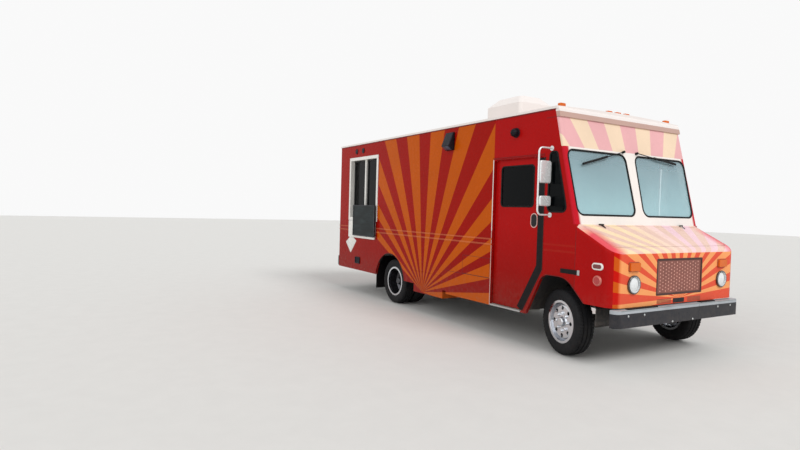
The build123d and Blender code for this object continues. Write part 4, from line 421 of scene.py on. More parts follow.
def nose_paint():
    shader = Shader("nose_paint")
    rays, top, back, deep = nose_value(shader)
    # Painted light: the face's rays in paler, sunlit tints of the red and orange that its corners show
    turned = shader.ramp(back, 1, 12)
    face_red = shader.mix(turned, FACE_RED_LIT, CORNER_RED)
    face_orange = shader.mix(turned, FACE_ORANGE_LIT, CORNER_ORANGE)
    face = shader.mix(rays, face_red, face_orange)
    face = shader.mix(shader.step(back, CORNER_BACK), face, RED)
    # Painted sunlight on the hood: its rays in pale tan and cream in place of red and orange, the cream
    # turning to blush on the left
    hood = shader.mix(rays, TAN, shader.mix(shader.ramp(shader.y, -350, 350), CREAM, BLUSH))
    # Painted highlight: pink along the hood's side edges near the front, fading out towards the cowl
    corner = shader.ramp(back, 340, 520, 1, 0)
    edge = shader.times(corner, shader.ramp(shader.aside(), 930, 1110))
    hood = shader.mix(edge, hood, PINK_HIGHLIGHT)
    hinge = shader.below(deep, -2)
    return painted(shader, shader.mix(hinge, shader.mix(top, face, hood), tone(40, 34, 32)))


def header_paint():
    shader = Shader("header_paint")
    foot_z = HEADER_RAY_Z - HEADER_RAY_LENGTH * math.cos(RAKE)
    along = shader.over(shader.minus(shader.z, foot_z), math.cos(RAKE))
    tangent = shader.over(shader.minus(shader.y, HEADER_CENTRE_Y), along)
    turn = shader.math("FRACT", shader.over(shader.plus(tangent, HEADER_START), HEADER_PAIR))
    yellow = shader.below(turn, 0.5)
    # The header's ray pattern, its red and orange paled to pink and yellow by painted light
    rays = shader.mix(yellow, PINK, PALE_YELLOW)
    high = shader.step(shader.z, HEADER_FOOT_Z)
    low = shader.mix(shader.ramp(shader.aside(), *PILLAR_Y), IVORY, PILLAR_RED)
    return painted(shader, shader.mix(high, low, rays))


def cab_glass():
    """Windscreen panes pale with dust and a painted reflection, a little darker higher up, and quarter
    windows nearly black with painted shade of the cab's inside.
    """
    shader = Shader("cab_glass")
    quarter = shader.step(shader.aside(), QUARTER_Y)
    sky = shader.mix(shader.ramp(shader.z, *GLASS_FADE_Z), GLASS_DUST_AND_REFLECTION, GLASS_DUST_AND_REFLECTION_HIGH)
    colour = shader.clouded(shader.mix(quarter, sky, GLASS_SHADE), 0.12, 900)
    cover = shader.ramp(shader.z, *GLASS_FADE_Z, 0.5, 0.36)
    alpha = shader.math("MAXIMUM", cover, shader.blend(quarter, 0, 0.95))
    shine = shader.blend(quarter, 0.5, 0.08)
    return shader.finish(colour, 0.05, alpha=alpha, shine=shine)


def headlamp():
    """A fluted lens inside a dark bezel."""
    shader = Shader("headlamp")
    y, z, radius = HEADLAMP
    lens = shader.within((0, y, z), (FAR, radius, radius), radius + 0.1)
    flute = shader.step(shader.math("FRACT", shader.over(shader.y, 15)), 0.5)
    glass = shader.mix(flute, tone(208, 212, 214), tone(238, 240, 240))
    colour = shader.mix(lens, tone(52, 48, 48), glass)
    return shader.finish(colour, 0.12, bump=0.3, grain=8, coat=1, polish=0.02)


def roof_white():
    """Off-white, with painted shade in tan on the lower lip in front."""
    shader = Shader("roof_white")
    lip = shader.times(shader.below(shader.z, ROOF_LIP[1]), shader.step(shader.x, ROOF_LIP[0]))
    white = shader.mix(lip, tone(238, 230, 226), tone(192, 158, 146))
    colour = shader.dusted(shader.clouded(white, 0.05, 500), 0.1)
    return shader.finish(colour, 0.38, bump=0.03, grain=3, shine=0.3)


def bumper_grey():
    """Dark grey, with a pale band along the top in front: a painted highlight."""
    shader = Shader("bumper_grey")
    band = shader.times(shader.step(shader.z, BUMPER_BAND_Z), shader.step(shader.x, 0))
    colour = shader.clouded(shader.mix(band, tone(30, 32, 40), tone(176, 182, 188)), 0.2)
    return shader.finish(shader.dusted(colour, 0.2), 0.42, bump=0.06, grain=3, shine=0.3)


def rear_rim():
    """Polished steel, with painted shade deep inside the dish: darker and duller there."""
    shader = Shader("rear_rim")
    outer = shader.ramp(shader.aside(), *RIM_DISH_Y)
    colour = shader.clouded(shader.mix(outer, tone(82, 82, 86), tone(214, 216, 220)), 0.1)
    return shader.finish(colour, shader.blend(outer, 0.4, 0.14), 1, bump=0.02, grain=30)


def lining_sheet():
    """Pale sheet inside, undercoated below."""
    shader = Shader("lining_sheet")
    sheet = shader.clouded(tone(196, 196, 190), 0.2)
    return shader.finish(shader.undercoated(sheet), 0.45, 0.15, bump=0.1, grain=14)


def board_black():
    """A blank black board with faint wiped smears."""
    shader = Shader("board_black")
    smear = shader.ramp(shader.noise(140, detail=8, rough=0.7, stretch=(0.4, 1, 1.6)), 0.45, 0.75)
    colour = shader.mix(smear, tone(14, 22, 23), tone(38, 50, 52))
    return shader.finish(colour, 0.55, bump=0.05, grain=30, shine=0.25)


PAINT = {
    "side": side_paint(), "red": red_paint(), "rear": rear_door_paint(), "nose": nose_paint(),
    "header": header_paint(),
}
WHITE = roof_white()
FRAME_WHITE = plain("window_white", tone(236, 234, 228), 0.28, bump=0.02, coat=0.3)
SHEET = lining_sheet()
STEEL = plain("worktop_steel", tone(176, 178, 180), 0.3, 0.9, bump=0.02, grain=1.5)
BLACK = plain("chassis_black", tone(34, 34, 35), 0.62, spread=0.3, bump=0.25, grain=6, dust=0.5)
CAST = plain("cast_iron", tone(62, 58, 55), 0.7, 0.4, spread=0.3, bump=0.4, grain=4, dust=0.5)
RUBBER = plain("rubber_black", tone(16, 14, 15), 0.62, spread=0.25, bump=0.08, grain=3, shine=0.2)
TYRE = plain("tyre_rubber", tone(20, 21, 24), 0.72, spread=0.3, bump=0.12, grain=2.5, dust=0.05, shine=0.2)
CHROME = plain("polished_steel", tone(214, 216, 220), 0.12, 1, spread=0.1, bump=0.02, grain=30)
REAR_RIM = rear_rim()
ALUMINIUM = plain("aluminium", tone(190, 192, 192), 0.34, 0.85, spread=0.15, bump=0.03, grain=1.2)
BUMPER = bumper_grey()
GRILLE = plain("grille_brown", tone(142, 84, 72), 0.45, 0.2, spread=0.2, bump=0.05, dust=0.1)
GRILLE_RIM = plain("grille_rim", tone(66, 34, 30), 0.45, 0.2, spread=0.2, bump=0.05)
GRILLE_GLINT = plain("grille_glint_backing", tone(225, 165, 150), 0.5, spread=0.1, bump=0.05)
DARK = plain("dark_plastic", tone(30, 30, 32), 0.55, spread=0.2, bump=0.12, grain=1.6, shine=0.25)
FLOOD = plain("lamp_housing", tone(20, 20, 30), 0.5, spread=0.2, bump=0.05, shine=0.25)
LENS_FLOOD = plain("floodlight_glass", tone(60, 60, 80), 0.15, spread=0.1, bump=0.2, grain=9)
LENS_BROWN = plain("lens_brown", tone(120, 60, 60), 0.15, spread=0.1, bump=0.3, grain=6)
SLOT = plain("slot_brown", tone(146, 66, 38), 0.5, spread=0.1, bump=0.03)
SIGNAL_RIM = plain("signal_rim", tone(170, 70, 25), 0.45, spread=0.1, bump=0.03)
RING_PINK = plain("lamp_ring", tone(200, 110, 100), 0.35, 0.2, spread=0.1, bump=0.03)
DASH = plain("dash_grey", tone(112, 118, 122), 0.5, spread=0.15, bump=0.1, grain=1.6)
BOARD = board_black()
SEAM = plain("panel_seam", tone(70, 16, 16), 0.7, spread=0.2, bump=0.02)
RED_DEEP = plain("trim_dark_red", tone(120, 14, 14), 0.4, spread=0.15, bump=0.02, shine=0.3)
HIGHLIGHT_GREY = plain("bumper_highlight_grey", tone(150, 158, 160), 0.35, 0.4, spread=0.2, bump=0.03)
SILVER = plain("mirror_silver", tone(226, 230, 232), 0.03, 1, spread=0.04, bump=0)
PALE_TRIM = plain("trim_pale", tone(214, 176, 168), 0.4, 0.3, spread=0.15, bump=0.03)
LENS_AMBER = plain(
    "lens_amber", tone(222, 104, 18), 0.15, spread=0.12, bump=0.3, grain=6, shine=0.2, coat=0.2)
LENS_RED = plain("lens_red", tone(176, 22, 18), 0.12, spread=0.12, bump=0.3, grain=6, coat=1, polish=0.03)
MIRROR = plain("mirror_shell", tone(225, 228, 228), 0.25, 0.3, spread=0.08, bump=0.01)
GLASS = cab_glass()
# Door and serving window glass, nearly opaque black: painted shade of the dark inside behind the panes
GLASS_DARK = plain("painted_shade_glass", tone(6, 8, 10), 0.1, spread=0.1, bump=0, alpha=0.96, shine=0.08)
VINYL = plain("seat_vinyl", tone(58, 58, 62), 0.5, spread=0.15, bump=0.35, grain=1.8, coat=0.1)

NODE_LOOKS = (
    (PAINT["side"], "side_wall_right", "side_wall_left", "skirt_boxes"),
    (PAINT["red"], "cab_door_right", "cab_door_left", "rear_frame"),
    (PAINT["rear"], "rear_door_right", "rear_door_left"),
    (PAINT["nose"], "nose_shell", "hood"),
    (PAINT["header"], "windshield_frame"),
    (WHITE, "roof_panel", "roof_vent"),
    (FRAME_WHITE, "serving_window_frame", "serving_shelf"),
    (GLASS, "cab_glass"),
    (GLASS_DARK, "cab_door_glass_right", "cab_door_glass_left", "serving_window_glass"),
    (BOARD, "menu_board"),
    (SHEET, "floor_panel", "firewall", "door_pockets"),
    (STEEL, "kitchen_counters"),
    (BLACK, "wheelhouses", "chassis_frame", "front_axle", "rear_axle", "fuel_tank"),
    (CAST, "leaf_springs", "knuckle_right", "knuckle_left", "tie_rod", "engine_block", "exhaust"),
    (RUBBER, "mud_flaps", "wipers"),
    (BUMPER, "bumpers"),
    (GRILLE, "grille"),
    (headlamp(), "headlamps"),
    (LENS_AMBER, "amber_lamps"),
    (LENS_RED, "body_lamps"),
    (MIRROR, "mirrors"),
    (DASH, "dashboard", "engine_cover"),
    (DARK, "steering_wheel"),
    (VINYL, "driver_seat"),
    (FLOOD, "wall_fittings"),
    (TYRE, "tyre_front_right", "tyre_front_left", "tyres_rear_right", "tyres_rear_left"),
    (CHROME, "rim_front_right", "rim_front_left"),
    (REAR_RIM, "rims_rear_right", "rims_rear_left"),
)
for look, *names in NODE_LOOKS:
    for name in names:
        materials = NODES[name].data.materials
        materials.clear()
        materials.append(look)


# Forms

def rounded(corners, turns=6):
    """Points round an outline of (u, v, radius) corners."""
    points = []
    count = len(corners)
    for index, (u, v, radius) in enumerate(corners):
        corner = Vector((u, v))
        if radius == 0:
            points.append(corner)
            continue
        before = (Vector(corners[index - 1][:2]) - corner).normalized()
        after = (Vector(corners[(index + 1) % count][:2]) - corner).normalized()
        half = before.angle(after) / 2
        middle = corner + (before + after).normalized() * (radius / math.sin(half))
        start = corner + before * (radius / math.tan(half)) - middle
        stop = corner + after * (radius / math.tan(half)) - middle
        whole = start.angle_signed(stop)
        for turn in range(turns + 1):
            points.append(middle + Matrix.Rotation(-whole * turn / turns, 2) @ start)
    return points


def grown(points, amount):
    """An outline with every point moved outwards."""
    count = len(points)
    area = sum(points[i - 1].cross(points[i]) for i in range(count))
    hand = 1 if area > 0 else -1
    moved = []
    for index, point in enumerate(points):
        before = (point - points[index - 1]).normalized()
        after = (points[(index + 1) % count] - point).normalized()
        lean = (before + after).normalized()
        out = Vector((lean.y, -lean.x)) * hand
        moved.append(point + out * (amount / max(lean.dot(after), 0.3)))
    return moved


# The angle between two faces from which their edge shows as sharp
SHARP = math.radians(35)


class Form:
    """Points and faces of one piece, in millimetres."""

    def __init__(self):
        self.points = []
        self.faces = []

    def rings(self, rings, loop=False, caps=False):
        """Skins a row of equally long closed rings. loop joins the last to the first."""
        start, size = len(self.points), len(rings[0])
        for ring in rings:
            self.points.extend(ring)
        rows = len(rings)
        for row in range(rows if loop else rows - 1):
            low, high = start + row * size, start + (row + 1) % rows * size
            for step in range(size):
                after = (step + 1) % size
                self.faces.append((low + step, low + after, high + after, high + step))
        if caps:
            self.faces.append(tuple(start + step for step in range(size)))
            self.faces.append(tuple(start + (rows - 1) * size + step for step in range(size)))
        return self

    def follow(self, outline, section, place, **ends):
        """One ring along an outline for each (outward, height) point of a section."""
        rings = [[place(*point, height) for point in grown(outline, out)] for out, height in section]
        return self.rings(rings, **ends)

    def band(self, outline, section, place):
        """A closed section of (outward, height) points carried round an outline."""
        return self.follow(outline, section, place, loop=True)

    def plate(self, outline, levels, place):
        """A solid from one outline at several (outward, height) levels."""
        return self.follow(outline, levels, place, caps=True)

    def strip(self, path, width, low, high, place):
        """A flat bar along an open path of (u, v) points, between two heights."""
        path = [Vector(point) for point in path]
        corners = ((-1, low), (-1, high), (1, high), (1, low))
        rings = []
        for index, point in enumerate(path):
            before = (point - path[max(index - 1, 0)]).normalized()
            after = (path[min(index + 1, len(path) - 1)] - point).normalized()
            lean = (before + after).normalized()
            share = max(lean.dot(after if after.length else before), 0.3)
            out = Vector((lean.y, -lean.x)) * (width / 2 / share)
            rings.append([place(*(point + out * side), height) for side, height in corners])
        return self.rings(rings, caps=True)

    def turned(self, profile, centre, axis, steps=32, caps=False):
        """A (along, radius) profile turned about an axis through a centre."""
        axis = Vector(axis).normalized()
        across = axis.orthogonal().normalized()
        third = axis.cross(across)
        rings = []
        for along, radius in profile:
            ring = []
            for step in range(steps):
                angle = 2 * math.pi * step / steps
                reach = across * math.cos(angle) + third * math.sin(angle)
                ring.append(Vector(centre) + axis * along + reach * radius)
            rings.append(ring)
        return self.rings(rings, caps=caps)

    def tube(self, path, radius, steps=10, loop=False):
        """A round bar along a path of points."""
        path = [Vector(point) for point in path]
        angles = [2 * math.pi * step / steps for step in range(steps)]
        count = len(path)
        rings = []
        side = None
        for index, point in enumerate(path):
            before = path[index - 1] if index or loop else point
            after = path[(index + 1) % count] if index < count - 1 or loop else point
            lean = (after - before).normalized()
            side = (lean.orthogonal() if side is None else side - lean * side.dot(lean)).normalized()
            up = lean.cross(side)
            ring = [point + (side * math.cos(angle) + up * math.sin(angle)) * radius for angle in angles]
            rings.append(ring)
        return self.rings(rings, loop=loop, caps=not loop)

    def box(self, low, high, edge=2):
        """A block with a small bevel."""
        x, y, z = [(a + b) / 2 for a, b in zip(low, high)]
        half_x, half_y, half_z = [(b - a) / 2 for a, b in zip(low, high)]
        edge = min(edge, half_x * 0.45, half_y * 0.45, half_z * 0.45)
        outline = frame_of(-half_x, half_x, -half_y, half_y, edge, 3)
        levels = [(-edge, -half_z), (0, -half_z + edge), (0, half_z - edge), (-edge, half_z)]
        return self.plate(outline, levels, lambda u, v, w: Vector((x + u, y + v, z + w)))

    def piece(self, name, look, body="body", replaces=None):
        """The finished object, riding on its body."""
        mesh = bpy.data.meshes.new(name)
        mesh.from_pydata([tuple(Vector(point) * MM) for point in self.points], [], self.faces)
        shape = bmesh.new()
        shape.from_mesh(mesh)
        bmesh.ops.remove_doubles(shape, verts=shape.verts, dist=1e-6)
        bmesh.ops.recalc_face_normals(shape, faces=shape.faces)
        for face in shape.faces:
            face.smooth = True
        for edge in shape.edges:
            edge.smooth = len(edge.link_faces) == 2 and edge.calc_face_angle(0) < SHARP
        shape.to_mesh(mesh)
        shape.free()
        mesh.materials.append(look)
        piece = bpy.data.objects.new(name, mesh)
        bpy.context.scene.collection.objects.link(piece)
        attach(piece, body)
        if replaces:
            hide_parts(*replaces)
        return piece


HANDS = (("right", -1), ("left", 1))


def wall_place(hand, base=HALF_WIDTH):
    """X and Z on a side wall, with height outwards."""
    return lambda u, v, height: Vector((u, hand * (base + height), v))


def rake_place(u, v, height):
    """Y and Z on the windscreen plane, with height outwards."""
    x = COWL_X - (v - COWL_Z) * math.tan(RAKE)
    return Vector((x + height * math.cos(RAKE), u, v + height * math.sin(RAKE)))


def face_place(u, v, height):
    """Y and Z on the nose's face, with height forwards."""
    return Vector((FACE_X + height, u, v))


def bumper_place(u, v, height):
    return Vector((BUMPER_X + height, u, v))


def rear_place(u, v, height):
    """Y and Z on the rear, with height backwards."""
    return Vector((REAR_X - height, u, v))


def roof_place(u, v, height):
    """X and Y on the crowned roof."""
    return Vector((u, v, ROOF_EDGE_Z + ROOF_CROWN * (1 - (v / ROOF_HALF) ** 2) + height))


def mirrored(corners):
    return [(-u, v, radius) for u, v, radius in corners]


def rectangle(u_low, u_high, v_low, v_high, radius):
    corners = ((u_low, v_low), (u_high, v_low), (u_high, v_high), (u_low, v_high))
    return [(u, v, radius) for u, v in corners]


def frame_of(u_low, u_high, v_low, v_high, radius, turns):
    """Points round a rectangle with rounded corners."""
    return rounded(rectangle(u_low, u_high, v_low, v_high, radius), turns)


# Rubber round the panes: a low rounded strip that laps the opening's edge
GASKET = [(-9, -7), (-9, 1), (-5, 5), (6, 5.5), (12, 3.5), (13, 0.3), (13, -0.5)]

for name, hand in HANDS:
    pane = PANE_CORNERS if hand < 0 else mirrored(PANE_CORNERS)
    Form().band(rounded(pane, 8), GASKET, rake_place).piece(f"windscreen_gasket_{name}", RUBBER)
    Form().band(rounded(QUARTER_CORNERS, 8), GASKET, wall_place(hand)).piece(f"quarter_gasket_{name}", RUBBER)
    door = Form().band(rounded(DOOR_PANE_CORNERS, 8), GASKET, wall_place(hand, DOOR_FACE_Y))
    door.piece(f"door_gasket_{name}", RUBBER, f"cab_door_{name}")

# Wiper blades on the arms' outer halves, as root and tip across and the tip's drop
WIPER_Z = 2490
blades = Form()
for root_y, tip_y, hang in ((-130, -912, 200), (130, 912, 90)):
    path = [(root_y + (tip_y - root_y) * share, WIPER_Z - hang * share) for share in (0.42, 0.7, 1.02)]
    blades.strip(path, 13, 7, 26, rake_place)
    blades.strip(path, 26, 23, 28, rake_place)
blades.piece("wiper_blades", RUBBER)

# Tyres: carcass with grooved tread, its shoulders cut across
TREAD_PITCHES = 60
SHOULDER_Y = 44
GROOVE_FOOT = 372
GROOVE_DEPTH = 7


def steered(form, hand):
    """Turns a form with its front wheel about the kingpin."""
    pin = Vector((FRONT_AXLE_X, hand * KINGPIN_Y, 0))
    turn = Matrix.Rotation(WHEELS_TURNED, 3, "Z")
    form.points = [pin + turn @ (Vector(point) - pin) for point in form.points]
    return form


def on_wheel(axle_x, y, radius, angle):
    """The point at that radius and angle round a wheel's middle."""
    return Vector((axle_x + radius * math.cos(angle), y, WHEEL_RADIUS + radius * math.sin(angle)))


def tyre(form, y, axle_x):
    """One tyre about its middle plane, its tread cut by grooves across and along."""
    half = 112
    profile = [
        (-84, 241), (-96, 256), (-106, 285), (-half, 322), (-108, 352), (-101, 374), (-93, 384),
        (-84, 389.5), (-56, 392.5), (-55, 382), (-46, 382), (-45, 393.5), (-7, 394.8), (-6, 383),
        (6, 383), (7, 394.8), (45, 393.5), (46, 382), (55, 382), (56, 392.5), (84, 389.5),
        (93, 384), (101, 374), (108, 352), (half, 322), (106, 285), (96, 256), (84, 241),
    ]
    steps = TREAD_PITCHES * 3
    rings = []
    for along, radius in profile:
        ring = []
        for step in range(steps):
            grooved = abs(along) > SHOULDER_Y and radius > GROOVE_FOOT and step % 3 == 0
            sunk = GROOVE_DEPTH if grooved else 0
            angle = 2 * math.pi * (step + (0.5 if along > 0 else 0)) / steps
            ring.append(on_wheel(axle_x, y + along, radius - sunk, angle))
        rings.append(ring)
    form.rings(rings, caps=False)
    inner = [(-84, 241), (-80, 300), (-60, 372), (60, 372), (80, 300), (84, 241)]
    return form.turned(inner, (axle_x, y, WHEEL_RADIUS), (0, 1, 0), steps=60)


def nuts(axle_x, face, hand):
    """Hexagonal wheel nuts and their round washers, on the studs."""
    form = Form()
    for number in range(STUDS):
        angle = 2 * math.pi * number / STUDS
        centre = on_wheel(axle_x, hand * face, STUD_CIRCLE, angle)
        form.turned([(0.2, 24), (3, 24), (3, 19)], centre, (0, hand, 0), 20, caps=True)
        form.turned([(3, 19), (18, 19), (22, 15.5)], centre, (0, hand, 0), 6, caps=True)
    return form


for name, hand in HANDS:
    front = steered(tyre(Form(), hand * OUTER_TRACK_Y, FRONT_AXLE_X), hand)
    front.piece(f"tyre_tread_front_{name}", TYRE, f"wheel_front_{name}", replaces=[f"tyre_front_{name}"])
    pair = tyre(Form(), hand * OUTER_TRACK_Y, REAR_AXLE_X)
    tyre(pair, hand * INNER_TRACK_Y, REAR_AXLE_X).piece(
        f"tyre_treads_rear_{name}", TYRE, f"wheels_rear_{name}", replaces=[f"tyres_rear_{name}"])
    steered(nuts(FRONT_AXLE_X, FRONT_STUD_Y, hand), hand).piece(
        f"wheel_nuts_front_{name}", CHROME, f"wheel_front_{name}")
    nuts(REAR_AXLE_X, REAR_STUD_Y, hand).piece(f"wheel_nuts_rear_{name}", CHROME, f"wheels_rear_{name}")

# Side walls: seams, trims and arch lips on both sides
SEAM_LEVELS = (0.1, 0.7)


def arc(centre_x, centre_z, radius, low_z, steps=40):
    """The part of a circle above a height, as X and Z from rear to front."""
    turn = math.asin((low_z - centre_z) / radius)
    points = []
    for step in range(steps + 1):
        angle = math.pi - turn - (math.pi - 2 * turn) * step / steps
        points.append(Vector((centre_x + radius * math.cos(angle), centre_z + radius * math.sin(angle))))
    return points


def door_edge(inset):
    """The sliding door's front edge as X and Z, moved inwards."""
    lean = math.hypot(1, DOOR_SLOPE)
    knee_z = DOOR_KNEE_Z + inset * (lean - 1) / DOOR_SLOPE
    foot_x = DOOR_EDGE_X - (DOOR_KNEE_Z - DOOR_FOOT_Z) * DOOR_SLOPE - inset * lean
    return [(DOOR_EDGE_X - inset, DOOR_TOP_Z), (DOOR_EDGE_X - inset, knee_z), (foot_x, DOOR_FOOT_Z)]


for name, hand in HANDS:
    wall = wall_place(hand)
    seams = Form()
    seams.strip([(COWL_X, 835), (COWL_X, 1528)], 4, *SEAM_LEVELS, wall)
    seams.strip([(450, 770), (1467, 770)], 4, *SEAM_LEVELS, wall)
    seams.strip([(2445, 2850), (2652, 2850)], 4, *SEAM_LEVELS, wall)
    seams.band([Vector(point) for point in ((849, 774), (1466, 774), (1466, 1045), (849, 1045))],
               [(-4, 0.1), (-4, 0.7), (0, 0.7), (0, 0.1)], wall)
    seams.piece(f"panel_seams_{name}", SEAM)
    rails = Form()
    rails.strip([(-3440, 2943), (2590, 2943)], 13, 0.1, 6, wall)
    rails.strip([(1478, 2400), (2440, 2400)], 5, 0.1, 5, wall)
    rails.strip([(1478, 2416), (2440, 2416)], 5, 0.1, 7, wall)
    rails.piece(f"drip_rails_{name}", RED_DEEP)
    Form().strip([(1487, 1430), (1487, 2398)], 13, 0.1, 3, wall).piece(f"door_post_trim_{name}", FRAME_WHITE)
    Form().strip([(1487, 412), (1487, 1430)], 11, 0.1, 3, wall).piece(f"door_post_foot_{name}", PALE_TRIM)
    Form().strip([(1500, 417), (2086, 417)], 17, -4, 4, wall).piece(f"step_nosing_{name}", ALUMINIUM)
    lips = Form()
    lips.tube([wall(*point, 1) for point in rounded(FRONT_ARCH, 10)], 5)
    lips.tube([wall(*point, 1) for point in arc(*REAR_ARCH, WALL_FOOT_Z)], 5)
    lips.piece(f"arch_lips_{name}", RED_DEEP)

    door = wall_place(hand, DOOR_FACE_Y)
    # A wide black rubber seal on the door's front edge, which also stands in as painted shade for the gap
    # there
    Form().strip(door_edge(62), 116, 0.1, 2, door).piece(f"door_seal_{name}", RUBBER, f"cab_door_{name}")
    Form().strip(door_edge(-19), 22, 0.1, 2.5, wall).piece(f"door_opening_seal_{name}", RUBBER)
    Form().strip(door_edge(-33), 5, 0.1, 3.2, wall).piece(f"door_opening_trim_{name}", RED_DEEP)
    u, v = DOOR_HANDLE
    cup = frame_of(u - 60, u + 60, v - 92, v + 92, 58, 10)
    Form().band(cup, [(-11, 0.1), (-11, 2.4), (-6, 3), (0, 2), (0, 0.1)], door).piece(
        f"door_handle_rim_{name}", PALE_TRIM, f"cab_door_{name}")
    Form().plate(cup, [(-11.5, 0.1), (-11.5, 1)], door).piece(
        f"door_handle_cup_{name}", DARK, f"cab_door_{name}")

    latch = Form().plate(frame_of(2752, 3008, 992, 1045, 8, 4), [(0, 0.1), (0, 4), (-3, 7)], wall)
    latch.piece(f"hood_latch_{name}", RUBBER)
    Form().plate(frame_of(3008, 3042, 988, 1049, 8, 4), [(0, 0.1), (0, 8), (-4, 12)], wall).piece(
        f"hood_latch_end_{name}", ALUMINIUM)

    z, length, height = FENDER_OVAL
    oval = frame_of(FENDER_LAMP_X - length / 2, FENDER_LAMP_X + length / 2,
                    z - height / 2, z + height / 2, height / 2 - 1, 10)
    rim = [(0.4, 0.1), (8, 0.1), (7, 12), (1, 17.5), (-9, 17.5), (-9, 16.4), (0.4, 16.4)]
    Form().band(oval, rim, wall).piece(f"fender_oval_rim_{name}", FRAME_WHITE)
    Form().plate(oval, [(-9, 16.4), (-11, 17), (-24, 17.2)], wall).piece(
        f"fender_oval_lens_{name}", LENS_BROWN)
    z, radius = FENDER_ROUND
    ring = [(0.1, radius + 9), (8, radius + 8), (17, radius + 1), (19, radius - 4), (16.4, radius - 8)]
    Form().turned(ring, (FENDER_LAMP_X, hand * HALF_WIDTH, z), (0, hand, 0), 40).piece(
        f"fender_round_rim_{name}", RING_PINK)

# Serving side: sashes, board frame, shelf hinge, badge and wall fittings
SERVING_WALL = wall_place(-1)
sashes = Form()
SASH = [(-34, 0.1), (-34, 8), (-30, 11), (-1, 11), (-1, 0.1)]
for pane in SERVING_PANES:
    sashes.band(frame_of(*pane, 8, 3), SASH, wall_place(-1, SERVING_PANE_Y))
sashes.piece("serving_sashes", DARK)
hinge = Form().tube([Vector((x, -SHELF_Y + 5, 1439)) for x in (SHELF[0] + 20, SHELF[1] - 20)], 4.5, 12)
hinge.piece("shelf_hinge", ALUMINIUM)
board = frame_of(*BOARD_EDGES, 4, 3)
Form().band(board, [(-20, 0.1), (-20, 3), (-17, 5), (0.5, 5), (0.5, -18), (0, -18), (0, 0.1)],
            wall_place(-1, BOARD_Y)).piece("menu_board_frame", BUMPER)
BADGE = [(-3142, 985, 12), (-2896, 1142, 12), (-2665, 1031, 12), (-2911, 774, 12)]
Form().plate(rounded(BADGE, 4), [(0, 0.1), (0, 1.5), (-1.5, 2.5)], SERVING_WALL).piece(
    "badge_plate_blank", FRAME_WHITE)

ROUND_VENTS = [(-2735, 2822), (-2449, 2822)]
LOUVRE = (-2581, 650)
FLOODLIGHT = (475, 2740)
ROUND_LAMP = (1920, 2724)
fittings = Form()
for x, z in ROUND_VENTS:
    cap = [(0.3, 52), (7, 52), (12, 48), (14, 42), (11, 38), (11, 22), (14, 18), (15, 4)]
    fittings.turned(cap, (x, -HALF_WIDTH, z), (0, -1, 0), 40, caps=True)
x, z = LOUVRE
fittings.band(frame_of(x - 100, x + 100, z - 65, z + 65, 14, 4),
              [(-12, 0.2), (-12, 17), (-9, 20), (-3, 20), (0, 17), (0, 0.2)], SERVING_WALL)
fittings.plate(frame_of(x - 90, x + 90, z - 55, z + 55, 6, 3), [(0, 0.2), (0, 3)], SERVING_WALL)
for row in range(5):
    slat_z = z - 44 + 21 * row
    section = [(slat_z - 8, 16), (slat_z + 8, 4), (slat_z + 9, 6), (slat_z - 7, 18)]
    ends = [[SERVING_WALL(end, v, height) for v, height in section] for end in (x - 89, x + 89)]
    fittings.rings(ends, caps=True)
x, z = FLOODLIGHT
housing = rounded([(134, 0.3, 1), (134, 36, 12), (-74, 118, 12), (-134, 42, 8), (-134, 0.3, 1)], 5)
fittings.plate(housing, [(-8, -95), (0, -87), (0, 87), (-8, 95)],
               lambda u, v, w: Vector((x + w, -HALF_WIDTH - v, z + u)))
for side in (-1, 1):
    fittings.tube([(x + side * 99, -HALF_WIDTH - 1, z + 40), (x + side * 99, -HALF_WIDTH - 60, z + 34),
                   (x + side * 90, -HALF_WIDTH - 62, z + 34)], 7)
x, z = ROUND_LAMP
dome = [(0.3, 64), (9, 64), (12, 61), (13, 50), (42, 50), (62, 44), (78, 28), (84, 10), (85, 2)]
fittings.turned(dome, (x, -HALF_WIDTH, z), (0, -1, 0), 40, caps=True)
for turn in range(4):
    angle = math.pi * turn / 4
    reach = Vector((math.cos(angle), 0, math.sin(angle)))
    cage = [Vector((x, -HALF_WIDTH - out, z)) + reach * across for out, across in
            ((12, -56), (48, -56), (74, -42), (90, -14), (90, 14), (74, 42), (48, 56), (12, 56))]
    fittings.tube(cage, 3, 8)
fittings.piece("wall_fittings_detailed", FLOOD, replaces=["wall_fittings"])
x, z = FLOODLIGHT
slant = Vector((0, -76, 60)).normalized()
face_out = Vector((0, -60, -76)).normalized()
glass = Form().plate(frame_of(-76, 76, -38, 38, 8, 3), [(0, -1), (0, 2), (-3, 3.5)],
                     lambda u, v, w: Vector((x + u, -HALF_WIDTH - 80, z - 104)) + slant * v + face_out * w)
glass.piece("floodlight_lens", LENS_FLOOD)

# Nose: grille backing in a pale tint that shows through the holes as painted glints, plate holder, slots,
# lamp surrounds
Form().plate(frame_of(-430, 430, 796, 1196, 6, 3), [(0, -14), (0, -6)], face_place).piece(
    "grille_glint_backing", GRILLE_GLINT)
grille_edge = frame_of(-433, 433, 793, 1199, 6, 3)
GRILLE_SECTION = [(-16, -4), (-16, 0.5), (-13, 2.5), (6, 2.5), (9, 0.1), (6, -0.5), (0, -4)]
Form().band(grille_edge, GRILLE_SECTION, face_place).piece("grille_rim", GRILLE_RIM)
Form().plate(frame_of(-120, 92, 688, 740, 5, 3), [(0, 0.1), (0, 3), (-2, 5)], face_place).piece(
    "plate_holder", DARK)
slots = Form()
for low_y, high_y in ((-423, -153), (161, 428)):
    for row in range(4):
        z = 695 + 14 * row
        slots.plate(frame_of(low_y, high_y, z - 5, z + 5, 4.5, 3), [(0, 0.1), (0, 0.9)], face_place)
slots.piece("air_slots", SLOT)
y, z, width, height = SIGNAL
for name, hand in HANDS:
    outline = frame_of(hand * y - width / 2, hand * y + width / 2, z - height / 2, z + height / 2, 10, 5)
    Form().band(outline, [(0.5, 0.1), (9, 0.1), (8, 8), (4, 11), (0.5, 11)], face_place).piece(
        f"signal_rim_{name}", SIGNAL_RIM)
